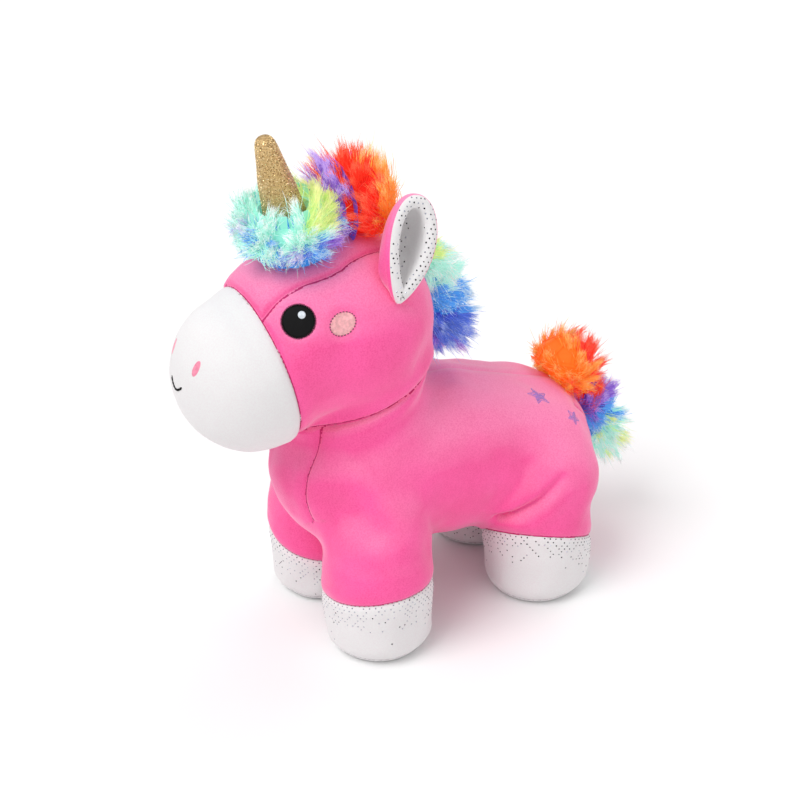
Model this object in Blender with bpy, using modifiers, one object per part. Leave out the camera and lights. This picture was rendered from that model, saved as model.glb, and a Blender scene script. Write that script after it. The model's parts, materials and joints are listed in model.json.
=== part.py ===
"""Plush unicorn: stuffed body, head, four legs, ears, horn, mane and tail.

Metres, +Z up.  The toy stands on its four soles at z = 0, faces -Y, and its
left side is +X.  Every soft form is a blend of ellipsoids.  The fabric is a
thin shell of that form, cut into its sewn panels, and the stuffing is the
same form shrunk by the fabric and a small gap.  Where a limb bends, the two
sides meet on a sphere about the pivot, so the limb can turn in its socket.
"""
import bpy
import bmesh
from math import cos, pi, radians, sin
from mathutils import Matrix, Vector

# ------------------------------------------------------------ dimensions
FABRIC = 0.0020            # short velour with its backing
GAP = 0.0004               # air between touching pieces
THREAD = 0.0007            # height of raised embroidery
FAR = 0.4                  # half size of a cutter that only ends at a plane
CENTRE = Vector((0, 0.0074, 0))   # puts the middle of the length at y = 0

VOXEL = 0.0035             # grain at which the ellipsoids are fused
SMOOTHING = 10
BODY_FACES = 1050
HEAD_FACES = 640
TUFT_FACES = 230
BALL_GAP = 0.0009          # air between a ball and its socket
CHORD = radians(3)         # faces flatter than this to each other are merged
TUFT_SMOOTHING = 4

# body: (centre, radii) of the stuffed form at the chest, belly and rump
CHEST = ((0, -0.045, 0.092), (0.044, 0.044, 0.043))
BELLY = ((0, 0.002, 0.083), (0.045, 0.040, 0.046))
RUMP = ((0, 0.046, 0.073), (0.048, 0.045, 0.038))
SPINE_STEPS = 3            # ellipsoids from one of these to the next
NECK_BASE = ((0, -0.042, 0.118), (0.038, 0.038, 0.026))
SHOULDER = ((0.023, -0.046, 0.070), (0.030, 0.031, 0.034))
THIGH = ((0.026, 0.047, 0.062), (0.032, 0.036, 0.034))
GUSSET_HALF = 0.020        # half width of the chest and belly gusset
GUSSET_EDGE = (Vector((0, -0.080, 0.120)), radians(-9))   # its upper edge line
BELOW_GROUND = -0.0200     # cutters that open downward end here

# neck: the head turns on a ball at the top of the body
NECK_PIVOT = Vector((0, -0.038, 0.111))
NECK_BALL = 0.0435
NECK_CORE = 0.0250         # ball that ties the neck into the body
NECK_CLEAR = 0.0080        # bare ball between body fabric and head fabric
NECK_SEAM = Vector((0, -0.045, 0.137))
NECK_TILT = radians(16.4)  # the seam rises toward the nape

# head
CRANIUM = ((0, -0.050, 0.174), (0.045, 0.045, 0.046))
FOREHEAD = ((0, -0.072, 0.173), (0.041, 0.041, 0.043))
MUZZLE = ((0, -0.099, 0.159), (0.039, 0.038, 0.039))
NAPE = ((0, -0.042, 0.152), (0.039, 0.038, 0.030))
MUZZLE_SEAM = Vector((0, -0.0925, 0.160))
MUZZLE_TILT = radians(12.4)
FOREHEAD_OUTLINE = ((-0.150, 0.019), (-0.060, 0.023), (-0.012, 0.012))
FOREHEAD_LOW = 0.182       # the gusset ends above this height
FOREHEAD_FRONT = -0.0300   # its outline before this is cut by the muzzle seam
FOREHEAD_DEPTH = 0.1000

# embroidered patches: a point near each, and its radii
PATCH_SINK = 0.0040        # a patch's cutter starts this far under the fabric
PATCH_DEPTH = 0.0100

EYE = (0.040, -0.0905, 0.2010)
EYE_R = 0.0074
EYE_LIGHT_R = 0.0018
EYE_LIGHT_SHIFT = (0.0018, 0.0030)   # outward and up from the eye's middle
CHEEK = (0.045, -0.0690, 0.1950)
CHEEK_R = (0.0062, 0.0048)
CHEEK_SPIN = radians(20)
NOSTRIL = (0.0105, -0.1310, 0.1750)
NOSTRIL_R = (0.0020, 0.0042)
NOSTRIL_SPIN = radians(-15)
SMILE_Z = 0.1605
SMILE_R = 0.0042
SMILE_THREAD = 0.0007

# horn
HORN_BASE = Vector((0, -0.0720, 0.2150))
HORN_LEAN = radians(9.5)
HORN_RAISE = 0.0040        # room under the horn for it to flex
HORN_PROFILE = ((0.0118, 0.0), (0.0105, 0.016), (0.0080, 0.037), (0.0060, 0.053),
                (0.0045, 0.0580), (0.0020, 0.0600))
HORN_LENGTH = HORN_PROFILE[-1][1]
HORN_SKIN = 0.0012
HORN_POINT = 0.0008        # radius of the hollow at the tip
HORN_OPEN = 0.0040         # the hollow skin is open this far below its foot
WELL_LOW = (0.0139, -0.0100)    # room inside the fur ring: radius and height on
WELL_HIGH = (0.0139, 0.0900)    # the horn's axis, at the foot and above the tip

# fur tufts: (centre, radii) lobes
FORELOCK = (((0, -0.0745, 0.2285), (0.0265, 0.0250, 0.0165)),)
MANE_FRONT = (((0, -0.0500, 0.233), (0.019, 0.0145, 0.020)),
              ((0, -0.0350, 0.232), (0.020, 0.0170, 0.022)))
MANE_BACK = (((0, -0.006, 0.199), (0.014, 0.012, 0.014)),
             ((0, 0.002, 0.184), (0.015, 0.0135, 0.015)),
             ((0, 0.006, 0.167), (0.016, 0.0150, 0.016)),
             ((0, 0.006, 0.156), (0.014, 0.0140, 0.014)))
TAIL = (((0, 0.083, 0.1090), (0.021, 0.019, 0.019)),
        ((0, 0.098, 0.080), (0.017, 0.015, 0.019)),
        ((0, 0.110, 0.060), (0.013, 0.013, 0.018)))
FORELOCK_BACK = -0.0515    # the forelock is before this plane, the mane behind
MANE_SPLIT = 0.2060        # the mane down the neck is below this height
TAIL_PIVOT = Vector((0, 0.066, 0.102))
TAIL_CLEAR = 0.0030

# ears
EAR_BASE = Vector((0.0350, -0.0345, 0.1950))
EAR_TIP = Vector((0.0235, -0.0215, 0.2440))
EAR_RADII = (0.0130, 0.0100)   # half width and depth of the cup
EAR_TURN = radians(38)     # the open side looks forward and outward
EAR_LINING = 0.0015
EAR_OPENING = -0.0015      # the cup ends this far in front of its middle
EAR_CLEAR = 0.0018         # room to the head and the mane

# legs
LEG_X = 0.0310
FRONT_Y = -0.0505
HIND_Y = 0.0465
HIP_Z = 0.0480
HIP_BALL = 0.0288
HIP_ROOM = 0.0028          # opening of the body round a leg
HIP_EDGE = 0.0040          # that opening closes this far above the hip
LEG_INNER_X = 0.0024       # the legs of a pair stay this far from the middle
CROTCH_Z = {"front": 0.0440, "hind": 0.0360}   # nothing between the legs below this
CROTCH_HALF = 0.0290
LEG_PROFILE = ((0.0240, -0.002), (0.0268, 0.004), (0.0288, 0.012), (0.0290, 0.030),
               (0.0285, 0.050), (0.0240, 0.074))
HOOF_TOP = 0.0350          # hoof seam on the leg's axis
HOOF_TILT = {"front": radians(12), "hind": radians(20)}   # higher outside
LEG_SKIN_TOP = 0.0610
SOLE_R = 0.0225
SOLE_T = 0.0022

# hip embroidery on the left flank: a point near it, and its radius
STARS = (("large", (0.0210, 0.0520, 0.1070), 0.0062),
         ("small", (0.0310, 0.0670, 0.0945), 0.0044))
STAR_SPIN = radians(12)
STAR_NOTCH = 0.5           # inner radius of a star over its outer radius

PINK = (0.98, 0.17, 0.40, 1)
WHITE = (0.88, 0.87, 0.86, 1)
STUFFING = (0.93, 0.92, 0.90, 1)


# ------------------------------------------------------------ scene helpers
def clear_scene():
    for old in list(bpy.data.objects):
        bpy.data.objects.remove(old)
    for name in ("plush_unicorn", "cutters"):
        bpy.context.scene.collection.children.link(bpy.data.collections.new(name))


def material(name, colour, roughness=0.9, metallic=0.0):
    found = bpy.data.materials.get(name)
    if found:
        return found
    made = bpy.data.materials.new(name)
    made.use_nodes = True
    shader = made.node_tree.nodes["Principled BSDF"]
    shader.inputs["Base Color"].default_value = colour
    shader.inputs["Roughness"].default_value = roughness
    shader.inputs["Metallic"].default_value = metallic
    return made


def add_object(name, mesh, collection="cutters"):
    made = bpy.data.objects.new(name, mesh)
    bpy.data.collections[collection].objects.link(made)
    if collection == "cutters":
        made.hide_render = True
        made.display_type = "WIRE"
    return made


def mesh_from(name, bm):
    mesh = bpy.data.meshes.new(name)
    bm.to_mesh(mesh)
    bm.free()
    return mesh


def evaluated_mesh(obj):
    graph = bpy.context.evaluated_depsgraph_get()
    return bpy.data.meshes.new_from_object(obj.evaluated_get(graph))


# ------------------------------------------------------------ plain shapes
def ellipsoid(bm, centre, radii, sides=32):
    place = Matrix.Translation(centre) @ Matrix.Diagonal((*radii, 1))
    bmesh.ops.create_uvsphere(bm, u_segments=sides, v_segments=sides // 2,
                              radius=1, matrix=place)


def ball(name, centre, radius, sides=18):
    bm = bmesh.new()
    ellipsoid(bm, centre, (radius, radius, radius), sides)
    return add_object(name, mesh_from(name, bm))


def box(name, low, high, place=Matrix()):
    low, high = Vector(low), Vector(high)
    size = high - low
    local = Matrix.Translation((low + high) / 2) @ Matrix.Diagonal((*size, 1))
    bm = bmesh.new()
    bmesh.ops.create_cube(bm, size=1, matrix=place @ local)
    return add_object(name, mesh_from(name, bm))


def tapered(name, centre, radius_low, radius_high, low, high, sides=18):
    """A round column from height low to high about a vertical axis."""
    bm = bmesh.new()
    place = Matrix.Translation((centre[0], centre[1], (low + high) / 2))
    bmesh.ops.create_cone(bm, cap_ends=True, segments=sides, radius1=radius_low,
                          radius2=radius_high, depth=high - low, matrix=place)
    return add_object(name, mesh_from(name, bm))


def turned(bm, profile, place, sides=24):
    """A closed solid of revolution about the local Z axis."""
    rings = []
    for radius, height in profile:
        ring = []
        for i in range(sides):
            angle = 2 * pi * i / sides
            point = Vector((radius * cos(angle), radius * sin(angle), height))
            ring.append(bm.verts.new(place @ point))
        rings.append(ring)
    for lower, upper in zip(rings, rings[1:]):
        for i in range(sides):
            j = (i + 1) % sides
            bm.faces.new((lower[i], lower[j], upper[j], upper[i]))
    bm.faces.new(list(reversed(rings[0])))
    bm.faces.new(rings[-1])


def prism(name, outline, depth, place):
    """A flat outline in the local XY plane, from z = 0 to z = depth."""
    bm = bmesh.new()
    base = [bm.verts.new(place @ Vector((x, y, 0))) for x, y in outline]
    top = [bm.verts.new(place @ Vector((x, y, depth))) for x, y in outline]
    count = len(outline)
    for i in range(count):
        j = (i + 1) % count
        bm.faces.new((base[i], base[j], top[j], top[i]))
    bm.faces.new(list(reversed(base)))
    bm.faces.new(top)
    bmesh.ops.recalc_face_normals(bm, faces=bm.faces)
    return add_object(name, mesh_from(name, bm))


# ------------------------------------------------------------ soft forms
def fused(name, bm, faces, smoothing=SMOOTHING):
    """Fuse overlapping closed shapes into one smooth closed surface."""
    rough = add_object(name + "_rough", mesh_from(name + "_rough", bm))
    remesh = rough.modifiers.new("fuse", "REMESH")
    remesh.mode = "VOXEL"
    remesh.voxel_size = VOXEL
    smooth = rough.modifiers.new("smooth", "SMOOTH")
    smooth.factor = 0.5
    smooth.iterations = smoothing
    count = 2 * len(evaluated_mesh(rough).polygons)
    thin = rough.modifiers.new("thin", "DECIMATE")
    thin.ratio = faces / count
    thin.use_collapse_triangulate = True
    form = add_object(name, evaluated_mesh(rough))
    bpy.data.objects.remove(rough)
    return form


def grown(form, name, distance):
    """The same surface moved out along its normals, or in if negative."""
    copy = add_object(name, form.data.copy())
    push = copy.modifiers.new("grow", "DISPLACE")
    push.mid_level = 0
    push.strength = distance
    copy.data = evaluated_mesh(copy)
    copy.modifiers.clear()
    return copy


def add_boolean(part, operation, cutter):
    step = part.modifiers.new(operation.lower(), "BOOLEAN")
    step.operation = operation
    step.solver = "EXACT"
    step.object = cutter


def combined(name, form, steps):
    """A copy of form, changed by (operation, other form) steps in turn."""
    joined = add_object(name, form.data.copy())
    for operation, other in steps:
        add_boolean(joined, operation, other)
    joined.data = evaluated_mesh(joined)
    joined.modifiers.clear()
    return joined


def solid(name, form, steps, look, sharp=40):
    """A part: a copy of form, cut by (operation, cutter) steps in turn."""
    part = add_object(name, form.data.copy(), "plush_unicorn")
    for operation, cutter in steps:
        add_boolean(part, operation, cutter)
    part.data.materials.clear()
    merge = part.modifiers.new("merge", "DECIMATE")
    merge.decimate_type = "DISSOLVE"
    merge.angle_limit = CHORD
    part.data = evaluated_mesh(part)
    part.modifiers.clear()
    part.data.materials.clear()
    part.data.materials.append(look)
    part.data.shade_smooth()
    part.data.set_sharp_from_angle(angle=radians(sharp))
    return part


def set_origin(part, point):
    """Put the part's origin on its joint axis without moving the part."""
    part.data.transform(Matrix.Translation(-Vector(point)))
    part.location = point


def centre_parts():
    """Move the finished toy so that the middle of its length is at y = 0."""
    for part in bpy.data.collections["plush_unicorn"].objects:
        part.location += CENTRE


def mirrored(blob):
    (x, y, z), radii = blob
    return ((-x, y, z), radii)


def between(first, second):
    """Ellipsoids from the first to just before the second."""
    row = []
    for step in range(SPINE_STEPS):
        share = step / SPINE_STEPS
        centre, radii = (Vector(a).lerp(Vector(b), share) for a, b in zip(first, second))
        row.append((centre, radii))
    return row


# ------------------------------------------------------------ body and legs
def leg_places():
    for pair, y in (("front", FRONT_Y), ("hind", HIND_Y)):
        for side, sign in (("left", 1), ("right", -1)):
            yield pair + "_" + side, sign, Vector((sign * LEG_X, y, HIP_Z))


def make_body():
    bm = bmesh.new()
    blobs = [NECK_BASE, SHOULDER, THIGH, mirrored(SHOULDER), mirrored(THIGH), RUMP]
    blobs += between(CHEST, BELLY) + between(BELLY, RUMP)
    for centre, radii in blobs:
        ellipsoid(bm, centre, radii)
    for _, _, pivot in leg_places():
        turned(bm, LEG_PROFILE, Matrix.Translation((pivot.x, pivot.y, 0)))
    form = fused("body_form", bm, BODY_FACES)
    forms = []
    for name, depth in (("outer", 0), ("inner", FABRIC), ("core", FABRIC + GAP)):
        front, hind = crotch_cutters(name, depth)
        forms.append(combined("body_" + name, grown(form, "uncut_" + name, -depth),
                              [("DIFFERENCE", front), ("DIFFERENCE", hind)]))
    return forms


def seam_frame():
    return Matrix.Translation(NECK_SEAM) @ Matrix.Rotation(NECK_TILT, 4, "X")


def leg_cutters():
    """For each leg: what belongs to the leg, and what the body leaves free."""
    cutters = {}
    for name, sign, pivot in leg_places():
        low, high = LEG_INNER_X, FAR
        if sign < 0:
            low, high = -FAR, -LEG_INNER_X
        side = box("side_" + name, (low, -FAR, -FAR), (high, FAR, FAR))
        own_ball = ball("own_ball_" + name, pivot, HIP_BALL)
        own = tapered("own_" + name, pivot, HIP_BALL, HIP_BALL, BELOW_GROUND, pivot.z)
        free_ball = ball("free_ball_" + name, pivot, HIP_BALL + BALL_GAP)
        free = tapered("free_" + name, pivot, HIP_BALL + 3 * HIP_ROOM, HIP_BALL + HIP_ROOM,
                       BELOW_GROUND, pivot.z + HIP_EDGE)
        wall = LEG_INNER_X - GAP
        low, high = (wall, FAR) if sign > 0 else (-FAR, -wall)
        free_side = box("free_side_" + name, (low, -FAR, -FAR), (high, FAR, FAR))
        leg_region = combined("leg_region_" + name, own_ball, [("UNION", own), ("INTERSECT", side)])
        body_hole = combined("body_hole_" + name, free_ball,
                             [("UNION", free), ("INTERSECT", free_side)])
        cutters[name] = (leg_region, body_hole)
    return cutters


def crotch_cutters(name, depth):
    """The open space between the legs of each pair, grown by depth."""
    for pair, y in (("front", FRONT_Y), ("hind", HIND_Y)):
        half_x = LEG_INNER_X + depth
        half_y = CROTCH_HALF + depth
        yield box("crotch_%s_%s" % (pair, name), (-half_x, y - half_y, -FAR),
                  (half_x, y + half_y, CROTCH_Z[pair] + depth))


def make_torso(outer, inner, core, cutters):
    holes = [("DIFFERENCE", hole) for _, hole in cutters.values()]
    frame = seam_frame()
    below = box("below_neck", (-FAR, -FAR, -FAR), (FAR, FAR, -NECK_CLEAR), frame)
    above = box("above_shoulders", (-FAR, -FAR, GAP - NECK_CLEAR), (FAR, FAR, FAR), frame)
    neck_top = ball("neck_top", NECK_PIVOT, NECK_BALL, 24)
    neck = combined("neck_ball", neck_top, [("INTERSECT", above)])
    tie = ball("neck_core", NECK_PIVOT, NECK_CORE)
    pink = material("pink_velour", PINK)
    filling = material("stuffing", STUFFING)
    solid("torso_stuffing", core,
          [("INTERSECT", below), ("UNION", tie), ("UNION", neck)] + holes, filling)
    point, tilt = GUSSET_EDGE
    edge = Matrix.Translation(point) @ Matrix.Rotation(tilt, 4, "X")
    half = GUSSET_HALF
    gusset = box("gusset_region", (-half, -FAR, -FAR), (half, FAR, 0), edge)
    wider = box("gusset_room", (-half - GAP, -FAR, -FAR), (half + GAP, FAR, GAP), edge)
    skin = [("INTERSECT", below), ("DIFFERENCE", inner)]
    solid("belly_gusset", outer, [("INTERSECT", gusset)] + skin + holes, pink)
    for side, sign in (("left", 1), ("right", -1)):
        low, high = (GAP / 2, FAR) if sign > 0 else (-FAR, -GAP / 2)
        half_space = box("half_" + side, (low, -FAR, -FAR), (high, FAR, FAR))
        steps = [("INTERSECT", half_space), ("DIFFERENCE", wider)] + skin + holes
        solid("side_panel_" + side, outer, steps, pink)


def make_legs(outer, inner, core, cutters):
    pink = material("pink_velour", PINK)
    white = material("hoof_foil", WHITE, 0.6)
    filling = material("stuffing", STUFFING)
    for name, sign, pivot in leg_places():
        region = cutters[name][0]
        above = box("above_" + name, (-FAR, -FAR, SOLE_T + GAP), (FAR, FAR, FAR))
        tilt = -sign * HOOF_TILT[name.split("_")[0]]
        seam = Matrix.Translation((pivot.x, pivot.y, HOOF_TOP)) @ Matrix.Rotation(tilt, 4, "Y")
        upper = box("upper_" + name, (-FAR, -FAR, GAP / 2), (FAR, FAR, FAR), seam)
        lower = box("lower_" + name, (-FAR, -FAR, -FAR), (FAR, FAR, -GAP / 2), seam)
        top = box("top_" + name, (-FAR, -FAR, -FAR), (FAR, FAR, LEG_SKIN_TOP))
        disc = tapered("disc_" + name, pivot, SOLE_R, SOLE_R, 0, SOLE_T, 20)
        own = [("INTERSECT", region)]
        hollow = [("DIFFERENCE", inner)]
        skin = own + [("INTERSECT", upper), ("INTERSECT", top)] + hollow
        hoof = own + [("INTERSECT", lower), ("INTERSECT", above)] + hollow
        for part in (solid("leg_stuffing_" + name, core, own + [("INTERSECT", above)], filling),
                     solid("leg_skin_" + name, outer, skin, pink),
                     solid("hoof_" + name, outer, hoof, white),
                     solid("sole_" + name, disc, [], white)):
            set_origin(part, pivot)


# ------------------------------------------------------------ head
def make_head():
    bm = bmesh.new()
    for centre, radii in (CRANIUM, FOREHEAD, MUZZLE, NAPE):
        ellipsoid(bm, centre, radii)
    outer = fused("head_form", bm, HEAD_FACES)
    inner = grown(outer, "head_inner", -FABRIC)
    core = grown(outer, "head_core", -FABRIC - GAP)
    frame = seam_frame()
    above = box("above_neck", (-FAR, -FAR, 0), (FAR, FAR, FAR), frame)
    dome = ball("neck_socket", NECK_PIVOT, NECK_BALL + BALL_GAP, 24)
    seam = Matrix.Translation(MUZZLE_SEAM) @ Matrix.Rotation(MUZZLE_TILT, 4, "X")
    front = box("muzzle_region", (-FAR, -FAR, -FAR), (FAR, -GAP / 2, FAR), seam)
    behind = box("behind_muzzle", (-FAR, GAP / 2, -FAR), (FAR, FAR, FAR), seam)
    outline = [(x, y) for y, x in FOREHEAD_OUTLINE]
    outline += [(-x, y) for x, y in reversed(outline)]
    wider = [(x + (GAP if x > 0 else -GAP), y) for x, y in outline]
    wider = [(x, y + GAP * (y > FOREHEAD_FRONT)) for x, y in wider]
    strip_place = Matrix.Translation((0, 0, FOREHEAD_LOW))
    room_place = Matrix.Translation((0, 0, FOREHEAD_LOW - GAP))
    strip = prism("forehead_region", outline, FOREHEAD_DEPTH, strip_place)
    room = prism("forehead_room", wider, FOREHEAD_DEPTH, room_place)
    pink = material("pink_velour", PINK)
    fabric = [("INTERSECT", above), ("DIFFERENCE", inner), ("DIFFERENCE", dome)]
    solid("head_stuffing", core, [("INTERSECT", above), ("DIFFERENCE", dome)],
          material("stuffing", STUFFING))
    solid("muzzle", outer, [("INTERSECT", front)] + fabric, material("white_velour", WHITE))
    solid("forehead_gusset", outer, [("INTERSECT", behind), ("INTERSECT", strip)] + fabric, pink)
    for side, sign in (("left", 1), ("right", -1)):
        low, high = (GAP / 2, FAR) if sign > 0 else (-FAR, -GAP / 2)
        half_space = box("head_half_" + side, (low, -FAR, -FAR), (high, FAR, FAR))
        steps = [("INTERSECT", half_space), ("INTERSECT", behind), ("DIFFERENCE", room)]
        solid("head_panel_" + side, outer, steps + fabric, pink)
    return outer


def patch(name, under, over, outline, frame, look):
    """Embroidery: a thin layer that follows the fabric under it."""
    cutter = prism("cut_" + name, outline, PATCH_DEPTH, frame)
    solid(name, over, [("INTERSECT", cutter), ("DIFFERENCE", under)], look)


def round_outline(radius_x, radius_y, sides=18):
    return [(radius_x * cos(2 * pi * i / sides), radius_y * sin(2 * pi * i / sides))
            for i in range(sides)]


def star_outline(radius):
    points = []
    for i in range(10):
        reach = radius if i % 2 == 0 else radius * STAR_NOTCH
        angle = pi / 2 + pi * i / 5
        points.append((reach * cos(angle), reach * sin(angle)))
    return points


def smile_outline(radius, thread, steps=8):
    arc = [radians(200 + 140 * i / steps) for i in range(steps + 1)]
    outer = [((radius + thread) * cos(a), (radius + thread) * sin(a)) for a in arc]
    inner = [((radius - thread) * cos(a), (radius - thread) * sin(a)) for a in reversed(arc)]
    return outer + inner


def surface_frame(form, x, y, z, spin=0.0):
    """A frame just under the form's nearest point, with Z out of the form."""
    _, point, normal, _ = form.closest_point_on_mesh(Vector((x, y, z)))
    turn = normal.to_track_quat("Z", "Y").to_matrix().to_4x4()
    under = Matrix.Translation(point - normal * PATCH_SINK)
    return under @ turn @ Matrix.Rotation(spin, 4, "Z")


def make_face(form):
    layers = [grown(form, "face_layer_%d" % i, GAP + i * (THREAD + GAP) / 2) for i in range(5)]
    black = material("black_thread", (0.012, 0.010, 0.013, 1), 0.5)
    white = material("white_thread", (0.9, 0.9, 0.9, 1), 0.5)
    blush = material("blush_thread", (0.78, 0.38, 0.42, 1), 0.5)
    rose = material("rose_thread", (0.85, 0.36, 0.48, 1), 0.5)
    for side, sign in (("left", 1), ("right", -1)):
        x, y, z = EYE
        frame = surface_frame(form, sign * x, y, z)
        patch("eye_" + side, layers[0], layers[2], round_outline(EYE_R, EYE_R), frame, black)
        right, up = EYE_LIGHT_SHIFT
        frame = frame @ Matrix.Translation((sign * right, up, 0))
        spot = round_outline(EYE_LIGHT_R, EYE_LIGHT_R, 12)
        patch("eye_highlight_" + side, layers[3], layers[4], spot, frame, white)
        x, y, z = CHEEK
        frame = surface_frame(form, sign * x, y, z, sign * CHEEK_SPIN)
        patch("cheek_" + side, layers[0], layers[2], round_outline(*CHEEK_R), frame, blush)
        x, y, z = NOSTRIL
        frame = surface_frame(form, sign * x, y, z, sign * NOSTRIL_SPIN)
        spot = round_outline(*NOSTRIL_R, 14)
        patch("nostril_" + side, layers[0], layers[2], spot, frame, rose)
    frame = surface_frame(form, 0, MUZZLE[0][1] - MUZZLE[1][1], SMILE_Z + SMILE_R)
    patch("smile", layers[0], layers[2], smile_outline(SMILE_R, SMILE_THREAD), frame, black)


def make_stars(form):
    layers = [grown(form, "hip_layer_%d" % i, GAP + i * THREAD) for i in range(2)]
    violet = material("violet_thread", (0.45, 0.16, 0.55, 1), 0.5)
    for name, place, radius in STARS:
        frame = surface_frame(form, *place, STAR_SPIN)
        patch("hip_star_" + name, layers[0], layers[1], star_outline(radius), frame, violet)


# ------------------------------------------------------------ horn, ears, fur
def horn_frame():
    return Matrix.Translation(HORN_BASE) @ Matrix.Rotation(HORN_LEAN, 4, "X")


def turned_object(name, profile, frame):
    bm = bmesh.new()
    turned(bm, profile, frame, 20)
    return add_object(name, mesh_from(name, bm))


def horn_inside(thick, point):
    """The horn's profile shrunk by thick, with at least that point radius."""
    return [(max(radius - thick, point), min(height, HORN_LENGTH - thick))
            for radius, height in HORN_PROFILE]


def make_horn():
    frame = horn_frame() @ Matrix.Translation((0, 0, HORN_RAISE))
    gold = material("gold_glitter", (0.46, 0.32, 0.14, 1), 0.35, 0.7)
    outside = turned_object("horn_outside", HORN_PROFILE, frame)
    inside = horn_inside(HORN_SKIN, HORN_POINT)
    inside[0] = (inside[0][0], -HORN_OPEN)
    hollow = turned_object("horn_hollow", inside, frame)
    within = horn_inside(HORN_SKIN + GAP, HORN_POINT - GAP)
    filling = turned_object("horn_filling", within, frame)
    skin = solid("horn_skin", outside, [("DIFFERENCE", hollow)], gold)
    core = solid("horn_stuffing", filling, [], material("stuffing", STUFFING))
    for part in (skin, core):
        set_origin(part, HORN_BASE)


def tuft(name, lobes, steps, look, pivot=None):
    bm = bmesh.new()
    for centre, radii in lobes:
        ellipsoid(bm, centre, radii)
    form = fused(name + "_form", bm, TUFT_FACES, TUFT_SMOOTHING)
    return solid(name, form, steps, look)


def make_fur(body_form, head_form):
    scalp = grown(head_form, "scalp", GAP)
    rump = grown(body_form, "rump_room", TAIL_CLEAR)
    well = turned_object("horn_well", (WELL_LOW, WELL_HIGH), horn_frame())
    aqua = material("aqua_fur", (0.35, 0.70, 0.66, 1))
    flame = material("flame_fur", (0.95, 0.10, 0.03, 1))
    blue = material("blue_fur", (0.06, 0.22, 0.55, 1))
    after = box("after", (-FAR, FORELOCK_BACK, -FAR), (FAR, FAR, FAR))
    steps = [("DIFFERENCE", scalp), ("DIFFERENCE", after), ("DIFFERENCE", well)]
    tuft("forelock", FORELOCK, steps, aqua)
    ahead = box("ahead", (-FAR, -FAR, -FAR), (FAR, FORELOCK_BACK + GAP, FAR))
    ears = [("DIFFERENCE", ear_form("ear_room_%d" % sign, sign, -EAR_CLEAR))
            for sign in (1, -1)]
    tuft("mane_front", MANE_FRONT, [("DIFFERENCE", scalp), ("DIFFERENCE", ahead)] + ears, flame)
    above = box("above_nape", (-FAR, -FAR, MANE_SPLIT), (FAR, FAR, FAR))
    tuft("mane_back", MANE_BACK, [("DIFFERENCE", scalp), ("DIFFERENCE", above)] + ears, blue)
    set_origin(tuft("tail", TAIL, [("DIFFERENCE", rump)], flame), TAIL_PIVOT)


def ear_frame(sign):
    """Origin at the foot of the ear, Z to its tip, -Y out of its open side."""
    foot = Vector((sign * EAR_BASE.x, EAR_BASE.y, EAR_BASE.z))
    tip = Vector((sign * EAR_TIP.x, EAR_TIP.y, EAR_TIP.z))
    along = (tip - foot).normalized()
    behind = Vector((-sign * sin(EAR_TURN), cos(EAR_TURN), 0))
    behind = (behind - along * behind.dot(along)).normalized()
    across = behind.cross(along)
    turn = Matrix((across, behind, along)).transposed().to_4x4()
    return Matrix.Translation(foot) @ turn


def ear_form(name, sign, depth):
    """The ear's full ellipsoid, shrunk by depth."""
    half = (EAR_TIP - EAR_BASE).length / 2
    bm = bmesh.new()
    ellipsoid(bm, (0, 0, half), [r - depth for r in (*EAR_RADII, half)], 14)
    bm.transform(ear_frame(sign))
    return add_object(name, mesh_from(name, bm))


def make_ears(head_form):
    pink = material("pink_velour", PINK)
    lining = material("foil_lining", WHITE, 0.6)
    scalp = grown(head_form, "ear_scalp", EAR_CLEAR)
    for side, sign in (("left", 1), ("right", -1)):
        depths = (0, FABRIC, FABRIC + GAP, FABRIC + GAP + EAR_LINING)
        forms = [ear_form("ear_%s_%d" % (side, i), sign, depth)
                 for i, depth in enumerate(depths)]
        behind = (-FAR, EAR_OPENING, -FAR)
        back = box("ear_back_" + side, behind, (FAR, FAR, FAR), ear_frame(sign))
        for name, outer, inner, look in (("ear_outer_", forms[0], forms[1], pink),
                                         ("ear_lining_", forms[2], forms[3], lining)):
            steps = [("INTERSECT", back), ("DIFFERENCE", inner), ("DIFFERENCE", scalp)]
            set_origin(solid(name + side, outer, steps, look), ear_frame(sign).translation)


def main():
    clear_scene()
    outer, inner, core = make_body()
    cutters = leg_cutters()
    make_torso(outer, inner, core, cutters)
    make_legs(outer, inner, core, cutters)
    head_form = make_head()
    make_face(head_form)
    make_stars(outer)
    make_horn()
    make_fur(outer, head_form)
    make_ears(head_form)
    centre_parts()


main()
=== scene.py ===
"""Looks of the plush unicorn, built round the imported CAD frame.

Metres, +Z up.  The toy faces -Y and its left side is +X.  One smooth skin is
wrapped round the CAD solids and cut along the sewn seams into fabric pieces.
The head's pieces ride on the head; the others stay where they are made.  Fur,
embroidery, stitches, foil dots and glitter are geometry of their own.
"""

import json
import random
from math import cos, exp, pi, radians, sin, sqrt

import bmesh
import bpy
import numpy as np
from mathutils import Matrix, Vector, noise
from mathutils.bvhtree import BVHTree


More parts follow.
